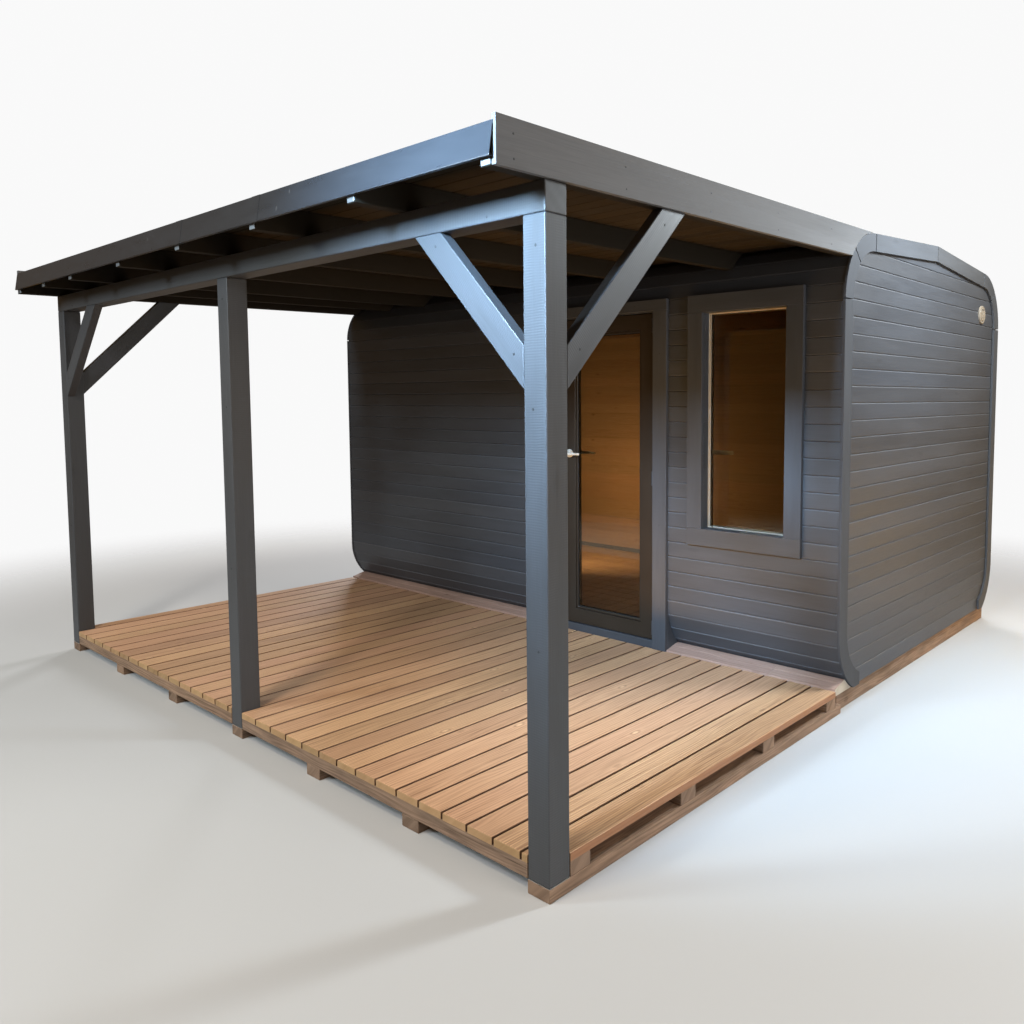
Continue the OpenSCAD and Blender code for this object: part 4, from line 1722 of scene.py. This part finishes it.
@dataclass
class Terrace:
    """Posts, beam, braces and roof of the terrace."""

    ceiling_board: float = 0.095
    sheet_joints: tuple[float, ...] = (0.133, 0.795)
    sheet_lap: float = 0.03
    sheet_proud: float = 0.0012
    hem: tuple[float, float] = (0.004, 0.005)
    end_plate: tuple[float, float] = (0.003, 0.034)
    hem_arris: float = 0.0015
    end_plate_depth: float = 0.002
    end_plate_arris: float = 0.0008
    screw_across: tuple[float, float] = (0.4, 0.65)
    post_screws: tuple[float, ...] = (0.75, 1.5, 1.99)
    brace_screw: float = 0.5
    beam_screw: tuple[float, float] = (0.255, 0.019)
    nail_start: float = 0.064
    nail_pitch: float = 0.51
    nail_rows: tuple[float, float] = (0.026, 0.095)
    nail_count: int = 5
    nail_wander: float = 0.005
    nail_radius: float = 0.0035
    roof_fall_deg: float = 1.13

    def timbers(self) -> None:
        """Posts, beam, braces, rafters and fascias."""
        Timbers("posts", "post_timbers", SAWN_PAINT, Slot.PAINT, POST_ARRIS).build()
        Timbers("front_beam", "beam_timber", SAWN_PAINT, Slot.PAINT, POST_ARRIS).build()
        Timbers("knee_braces", "brace_timbers", SAWN_PAINT, Slot.PAINT).build()
        Timbers("rafters", "rafter_timbers", SHADED_RAFTER_PAINT, Slot.PAINT).build()
        for node in ("fascia_left", "fascia_right"):
            Timbers(node, node + "_board", FASCIA_PAINT, Slot.PAINT, TRIM_ARRIS).build()

    def sheets(self) -> None:
        """Flashing in three sheets, felt in strips, rafter end plates and the plates under the posts."""
        solid = Bench.solid("drip_flashing", "drip_sheets")
        laps = [
            Bench.lap(solid, x - self.sheet_lap, x + self.sheet_lap, self.sheet_proud)
            for x in self.sheet_joints]
        low, high = extent(solid)
        hem = Bench.block(
            "hem", (low.x, low.y, low.z), (high.x, low.y + self.hem[0], low.z + self.hem[1]))
        Bench.arris(hem, self.hem_arris, 2)
        obj = dress(Bench.join([solid, hem, *laps], "drip_sheets"), SHEET)
        Bench.smooth(obj)
        place(obj, Slot.SHEET, ["drip_flashing"])
        FeltStrips("roof_membrane", "terrace_felt").build()
        plates = []
        for low, high in solids_of("rafters"):
            inset, tall = self.end_plate
            plate = Bench.block(
                "rafter_end_plates", (low.x + inset, low.y - self.end_plate_depth, low.z + inset),
                (high.x - inset, low.y, low.z + tall))
            Bench.arris(plate, self.end_plate_arris)
            plates.append(plate)
        place(dress(Bench.join(plates, "rafter_end_plates"), ZINC), Slot.STEEL)
        obj = Bench.solid("post_plates", "post_feet")
        place(dress(obj, STEEL), Slot.STEEL, ["post_plates"])

    def screw_spots(self) -> list[Spot]:
        """Places of the screws in the posts, the front beam and the braces.

        Returns:
            Pairs of a point on the timber and the way that the head looks.
        """
        spots = []
        for low, high in solids_of("posts"):
            for height in self.post_screws:
                across = dice.uniform(*self.screw_across) * (high.x - low.x)
                spots.append((Vector((low.x + across, low.y, low.z + height)), FRONT))
        low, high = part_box("front_beam")
        for x in (low.x + self.beam_screw[0], high.x - self.beam_screw[0]):
            spots.append((Vector((x, low.y, low.z + self.beam_screw[1])), FRONT))
        for brace in Bench.loose(Bench.solid("knee_braces", "measure")):
            low, high = extent(brace)
            side_brace = high.x - low.x < high.y - low.y
            outwards = RIGHT if high.x > 0 else LEFT
            way = outwards if side_brace else FRONT
            middle = sum((vertex.co for vertex in brace.data.vertices), Vector()) / len(brace.data.vertices)
            face = middle + way * abs((high - low).dot(way)) / 2
            reach = main_direction(brace) * (high.z - low.z) * self.brace_screw
            spots += [(face + reach, way), (face - reach, way)]
            Bench.drop(brace)
        return spots

    def nail_spots(self) -> list[Spot]:
        """Places of the nails in the fascias.

        Returns:
            Pairs of a point on the timber and the way that the head looks.
        """
        spots = []
        rise = math.tan(math.radians(self.roof_fall_deg))
        for node, way in (("fascia_left", LEFT), ("fascia_right", RIGHT)):
            low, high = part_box(node)
            outer = high.x if way is RIGHT else low.x
            for i in range(self.nail_count):
                y = low.y + self.nail_start + i * self.nail_pitch
                foot = low.z + (y - low.y) * rise
                for height in self.nail_rows:
                    wander = dice.uniform(-self.nail_wander, self.nail_wander)
                    spots.append((Vector((outer, y + wander, foot + height)), way))
        return spots

    def build(self) -> None:
        """Make the terrace above its deck."""
        self.timbers()
        Boarding(
            "roof_boarding", "roof_boards", SHADED_CEILING_PAINT, Slot.PAINT, self.ceiling_board, RIGHT,
            DOWN).build()
        self.sheets()
        Fasteners("frame_screws").build(self.screw_spots())
        Fasteners("fascia_nails", self.nail_radius).build(self.nail_spots())


@dataclass
class Lever:
    """A lever handle on a round rose, modelled for the door's outer face."""

    rose: float = 0.026
    rose_depth: float = 0.008
    neck: float = 0.0085
    bar_height: float = 0.019
    bar_depth: float = 0.011
    rose_arris: float = 0.002
    boss_inset: float = 0.008
    boss_rise: float = 0.0022
    neck_sides: int = 24
    bar_start: float = 1.3
    bar_taper: Point = (1, 0.8, 0.72)
    bar_arris: float = 0.0042
    steps: int = 3

    def build(self, name: str, low: Vector, high: Vector) -> Object:
        """Model the handle inside the box of its solid.

        Args:
            name: Name of the new object.
            low: Lowest corner of the box.
            high: Highest corner, on the door's face along Y.

        Returns:
            The handle.
        """
        centre = Vector((low.x + self.rose, high.y, (low.z + high.z) / 2))
        outwards = Matrix.Translation(centre) @ Matrix.Rotation(math.pi / 2, 4, "X")
        rose = Bench.disc(name, self.rose, self.rose_depth)
        Bench.bevel(rose, self.rose_arris, above(self.rose_depth - TINY), self.steps)
        Bench.select(rose, "FACE", is_disc_top)
        Bench.step(self.boss_inset, self.boss_rise)
        Bench.done()
        neck = Bench.disc(name, self.neck, high.y - low.y - self.bar_depth / 2, self.neck_sides)
        parts = [Bench.copy(rose, outwards), Bench.copy(neck, outwards)]
        Bench.drop(rose)
        Bench.drop(neck)
        bar = Bench.block(
            name, (centre.x - self.neck * self.bar_start, low.y, centre.z - self.bar_height / 2),
            (high.x, low.y + self.bar_depth, centre.z + self.bar_height / 2))
        Bench.resize(
            bar, lambda vertex: vertex.co.x > high.x - TINY, self.bar_taper,
            (high.x, low.y + self.bar_depth / 2, centre.z))
        Bench.arris(bar, self.bar_arris, self.steps)
        parts.append(bar)
        obj = Bench.join(parts, name)
        Bench.smooth(obj, FITTING_SMOOTH_DEG)
        return obj


@dataclass
class Door:
    """The glazed door, its frame, casing and fittings."""

    arris: float = SAWN_ARRIS
    hinge_arris: float = 0.0006
    nail_pitch: float = 0.47
    nail_radius: float = 0.0028
    least_nails: int = 2

    def leaf(self) -> None:
        """The leaf with its glazing, levers and hinge halves."""
        obj = Bench.solid("door_leaf", "door_leaf_frame")
        Bench.arris(obj, self.arris, 2)
        Bench.smooth(dress(obj, BRONZE))
        place(obj, Slot.BRONZE, ["door_leaf"], Body.DOOR)
        SealedUnit("door_glass", "door_pane", BRONZE, Slot.BRONZE, Body.DOOR).build()
        outer = min(solids_of("door_handles"), key=lambda box: box[0].y)
        lever = Lever().build("door_lever_outside", *outer)
        leaf_low, leaf_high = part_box("door_leaf")
        twin = Bench.mirror(lever, (leaf_low.y + leaf_high.y) / 2)
        obj = dress(Bench.join([lever, twin], "door_levers"), NICKEL)
        Bench.smooth(obj, FITTING_SMOOTH_DEG)
        place(obj, Slot.STEEL, ["door_handles"], Body.DOOR)

    def hinges(self) -> None:
        """The two halves of the hinges."""
        for node, body in (("hinge_frame_halves", Body.CABIN), ("hinge_leaf_halves", Body.DOOR)):
            obj = Bench.solid(node, node + "_steel")
            Bench.arris(obj, self.hinge_arris)
            Bench.smooth(dress(obj, HINGE), FITTING_SMOOTH_DEG)
            place(obj, Slot.STEEL, [node], body)

    def nails(self) -> None:
        """Nails along the middle of each casing board."""
        spots = []
        for low, high in solids_of("door_casing"):
            upright = high.z - low.z > high.x - low.x
            run = high.z - low.z if upright else high.x - low.x
            count = max(self.least_nails, round(run / self.nail_pitch))
            middle = (low + high) / 2
            for i in range(count):
                at = (i + 0.5) * run / count
                point = Vector((middle.x, low.y, low.z + at))
                if not upright:
                    point = Vector((low.x + at, low.y, middle.z))
                spots.append((point, FRONT))
        Fasteners("door_casing_nails", self.nail_radius).build(spots)

    def build(self) -> None:
        """Make the door."""
        Timbers("door_frame", "door_frame_timbers", PAINT, Slot.PAINT, PLANED_ARRIS).build()
        Timbers("door_sill", "door_sill_timber", PAINT, Slot.PAINT, self.arris).build()
        Timbers("door_casing", "door_casing_boards", PAINT, Slot.PAINT, TRIM_ARRIS).build()
        Timbers("door_cheeks", "door_cheek_boards", PAINT, Slot.PAINT, PLANED_ARRIS).build()
        self.nails()
        self.leaf()
        self.hinges()


@dataclass
class Window:
    """The fixed window with its casing and handle."""

    plate_depth: float = 0.007
    plate_width: float = 0.03
    bar_height: float = 0.027
    bar_depth: float = 0.012
    plate_arris: float = 0.003
    neck_span: tuple[float, float] = (0.007, 0.023)
    neck_half: float = 0.008
    neck_back: float = 0.003
    neck_arris: float = 0.004
    bar_start: float = 0.004
    bar_taper: Point = (1, 0.8, 0.75)
    bar_arris: float = 0.0035
    bead: float = 0.006
    gasket: float = 0.0012

    def handle(self) -> None:
        """The inner handle: a plate, a neck and a flat bar."""
        low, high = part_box("window_handle")
        middle = (low + high) / 2
        plate_high = (low.x + self.plate_width, low.y + self.plate_depth, high.z)
        plate = Bench.block("window_lever", low, plate_high)
        Bench.arris(plate, self.plate_arris, 2)
        left, right = self.neck_span
        neck_low = Vector((low.x + left, low.y + self.plate_depth, middle.z - self.neck_half))
        neck_high = Vector((low.x + right, high.y - self.neck_back, middle.z + self.neck_half))
        neck = Bench.block("window_lever", neck_low, neck_high)
        Bench.arris(neck, self.neck_arris, 3)
        bar = Bench.block(
            "window_lever", (low.x + self.bar_start, high.y - self.bar_depth, middle.z - self.bar_height / 2),
            (high.x, high.y, middle.z + self.bar_height / 2))
        Bench.resize(
            bar, lambda vertex: vertex.co.x > high.x - TINY, self.bar_taper, (high.x, high.y, middle.z))
        Bench.arris(bar, self.bar_arris, 3)
        obj = dress(Bench.join([plate, neck, bar], "window_lever"), NICKEL)
        Bench.smooth(obj, FITTING_SMOOTH_DEG)
        place(obj, Slot.STEEL, ["window_handle"])

    def build(self) -> None:
        """Make the window."""
        Timbers("window_casing", "window_casing_boards", PAINT, Slot.PAINT, TRIM_ARRIS).build()
        Timbers("window_frame", "window_frame_timbers", PALE_PINE, Slot.PALE, PLANED_ARRIS).build()
        SealedUnit(
            "window_glass", "window_pane", PALE_PINE, Slot.PALE, bead=self.bead, gasket=self.gasket).build()
        self.handle()


@dataclass
class Vent:
    """The round wooden air vent on the right end wall."""

    rim: float = 0.006
    plate_share: float = 0.78
    plate_step: float = 0.004
    knob: float = 0.008
    slot_size: tuple[float, float] = (0.05, 0.009)
    mark: float = 0.0035
    cuts: tuple[tuple[float, float], ...] = ((0.52, 0), (-0.45, 35), (-0.45, -35))
    cut_floor: float = 0.45
    cut_over: float = 0.01
    groove: float = 0.0015
    groove_depth: float = 0.003
    knob_arris: float = 0.002
    sides: int = 64
    knob_sides: int = 24
    rim_steps: int = 4

    def build(self) -> None:
        """Make the vent."""
        low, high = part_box("vent")
        radius, depth = (high.y - low.y) / 2, high.x - low.x
        base = Bench.disc("vent_disc", radius, depth - self.plate_step, self.sides)
        Bench.bevel(base, self.rim, above(depth - self.plate_step - TINY), self.rim_steps)
        Bench.select(base, "FACE", is_disc_top)
        Bench.step(radius * (1 - self.plate_share) - self.rim, -self.groove_depth)
        Bench.step(self.groove, self.groove_depth + self.plate_step / 2)
        Bench.done()
        half, tall = self.slot_size[0] / 2, self.slot_size[1] / 2
        for height, slant in self.cuts:
            wide = tall if slant == 0 else self.mark / 2
            tool = Bench.block(
                "slot", (-half, -wide, depth * self.cut_floor), (half, wide, depth + self.cut_over))
            spin = Matrix.Rotation(math.radians(slant), 4, "Z")
            tool.data.transform(Matrix.Translation((0, height * radius, 0)) @ spin)
            Bench.carve(base, tool, "DIFFERENCE")
        knob = Bench.disc("vent_disc", self.knob, depth - TINY, self.knob_sides)
        Bench.bevel(knob, self.knob_arris, above(depth - 2 * TINY), 2)
        obj = Bench.join([base, knob], "vent_disc")
        centre = Vector((low.x, (low.y + high.y) / 2, (low.z + high.z) / 2))
        facing = Matrix((BACK, UP, RIGHT)).transposed().to_4x4()
        obj.data.transform(Matrix.Translation(centre) @ facing)
        lay_grain(obj, BACK)
        Bench.smooth(dress(obj, VENT_PINE), BENT_SMOOTH_DEG)
        place(obj, Slot.PALE, ["vent"])


@dataclass
class Lamp:
    """A soft area light."""

    name: str
    spot: Point
    target: Point
    size: float
    power: float
    colour: Colour
    hidden: bool = False
    spread_deg: float = 180.0

    def build(self) -> None:
        """Add the light."""
        light = bpy.data.lights.new(self.name, "AREA")
        light.size = self.size
        light.energy = self.power
        light.color = self.colour
        light.spread = math.radians(self.spread_deg)
        obj = bpy.data.objects.new(self.name, light)
        bpy.context.scene.collection.objects.link(obj)
        obj.visible_camera = False
        obj.visible_glossy = obj.visible_transmission = not self.hidden
        obj.location = self.spot
        obj.rotation_euler = (Vector(self.target) - Vector(self.spot)).to_track_quat("-Z", "Y").to_euler()


@dataclass
class Studio:
    """Floor, lights and camera."""

    floor_size: float = 60.0
    floor_cells: int = 4
    world: Colour = (1.0, 0.55, 0.16)
    world_power: float = 0.14
    backdrop: Colour = (0.95, 0.95, 0.95)
    from_corner: Point = (1.746, -1.821, 1.578)
    turn_deg: float = 41.04
    pitch_deg: float = -4.2
    roll_deg: float = -0.18
    lens_mm: float = 29.51
    sensor_mm: float = 36.0
    shift: tuple[float, float] = (-0.0733, -0.0493)
    lamps: list[Lamp] = field(default_factory=lambda: [
        Lamp("front_soft_light", (-2.4, -7.2, 3.9), (-1.0, -0.5, 0.6), 1.2, 240.0, (0.77, 0.92, 1.0)),
        Lamp("front_right_light", (2.0, -6.2, 4.7), (1.7, -0.3, 0.4), 0.9, 138.0, (0.95, 0.97, 1.0)),
        Lamp("deck_light", (1.2, -5.2, 6.2), (1.0, -1.8, 0.2), 1.2, 165.0, (1.0, 0.88, 0.7)),
        Lamp("post_cool_light", (2.0, -4.0, 2.78), (1.9, -2.2, 1.98), 0.4, 50.0, (0.44, 0.7, 1.0),
             spread_deg=62.0),
        Lamp("right_soft_light", (6.4, -1.5, 1.6), (2.1, 0.2, 0.9), 2.0, 125.0, (1.0, 0.98, 0.95)),
        Lamp("end_top_light", (3.2, 0.7, 3.1), (2.1, 0.7, 2.0), 0.6, 86.0, (0.72, 0.86, 1.0)),
        Lamp("end_back_light", (3.4, 1.5, 3.2), (2.1, 1.2, 1.9), 0.6, 52.0, (1.0, 0.98, 0.85)),
        Lamp("rear_right_warm_light", (3.7, 2.4, 0.5), (2.1, 2.2, 0.5), 0.8, 17.0, (1.0, 0.55, 0.08)),
        Lamp("rear_soft_light", (-3.0, 8.0, 5.5), (0.0, 2.6, 1.0), 3.0, 560.0, (0.95, 0.97, 1.0)),
        Lamp("left_soft_light", (-7.0, 4.5, 4.0), (-2.1, 1.5, 1.2), 2.0, 290.0, (0.95, 0.97, 1.0)),
        Lamp("terrace_warm_light", (1.3, -1.0, 0.5), (1.5, -0.5, 2.3), 1.2, 22.0, (1.0, 0.52, 0.1),
             hidden=True),
        Lamp("handle_light", (1.56, -0.025, 1.46), (1.34, 0.03, 1.28), 0.03, 0.12, (1.0, 0.95, 0.85),
             hidden=True),
        Lamp("room_light", (-0.9, 1.2, 0.8), (-1.4, 2.4, 0.4), 0.5, 13.0, (1.0, 0.88, 0.68), hidden=True),
    ])

    def floor(self) -> None:
        """A wide plain floor."""
        Bench.clear()
        bpy.ops.mesh.primitive_grid_add(
            x_subdivisions=self.floor_cells, y_subdivisions=self.floor_cells, size=self.floor_size)
        obj = bpy.context.object
        obj.name = "studio_floor"
        dress(obj, FLOOR)

    def sky(self) -> None:
        """A dim even surround as a light, which the camera sees as a pale backdrop."""
        world = bpy.data.worlds.new("studio")
        world.use_nodes = True
        nodes, links = world.node_tree.nodes, world.node_tree.links
        dim = nodes["Background"]
        dim.inputs["Color"].default_value = (*self.world, 1.0)
        dim.inputs["Strength"].default_value = self.world_power
        pale = nodes.new("ShaderNodeBackground")
        pale.inputs["Color"].default_value = (*self.backdrop, 1.0)
        seen = nodes.new("ShaderNodeLightPath").outputs["Is Camera Ray"]
        mix = nodes.new("ShaderNodeMixShader")
        for socket, output in zip(mix.inputs, (seen, dim.outputs[0], pale.outputs[0])):
            links.new(output, socket)
        links.new(mix.outputs[0], nodes["World Output"].inputs["Surface"])
        bpy.context.scene.world = world
        bpy.context.scene.view_settings.view_transform = "Standard"

    def camera(self) -> None:
        """The camera at the photo's place, measured from the right post's front corner."""
        data = bpy.data.cameras.new("photo_camera")
        data.lens = self.lens_mm
        data.sensor_width = self.sensor_mm
        data.shift_x, data.shift_y = self.shift
        obj = bpy.data.objects.new("photo_camera", data)
        bpy.context.scene.collection.objects.link(obj)
        low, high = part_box("posts")
        obj.location = Vector((high.x, low.y, 0)) + Vector(self.from_corner)
        look = (
            Matrix.Rotation(math.radians(self.turn_deg), 3, "Z")
            @ Matrix.Rotation(math.radians(90 + self.pitch_deg), 3, "X")
            @ Matrix.Rotation(math.radians(self.roll_deg), 3, "Z")
        )
        obj.rotation_euler = look.to_euler()
        bpy.context.scene.camera = obj

    def build(self) -> None:
        """Set up the studio."""
        self.floor()
        self.sky()
        for lamp in self.lamps:
            lamp.build()
        self.camera()


def main() -> None:
    """Build the sub-assemblies in order."""
    logging.basicConfig(level=logging.INFO, format="%(message)s")
    Studio().build()
    for assembly in (CabinShell(), Deck(), Terrace(), Door(), Window(), Vent()):
        log.info("building %s", type(assembly).__name__)
        assembly.build()


if __name__ == "__main__":
    main()
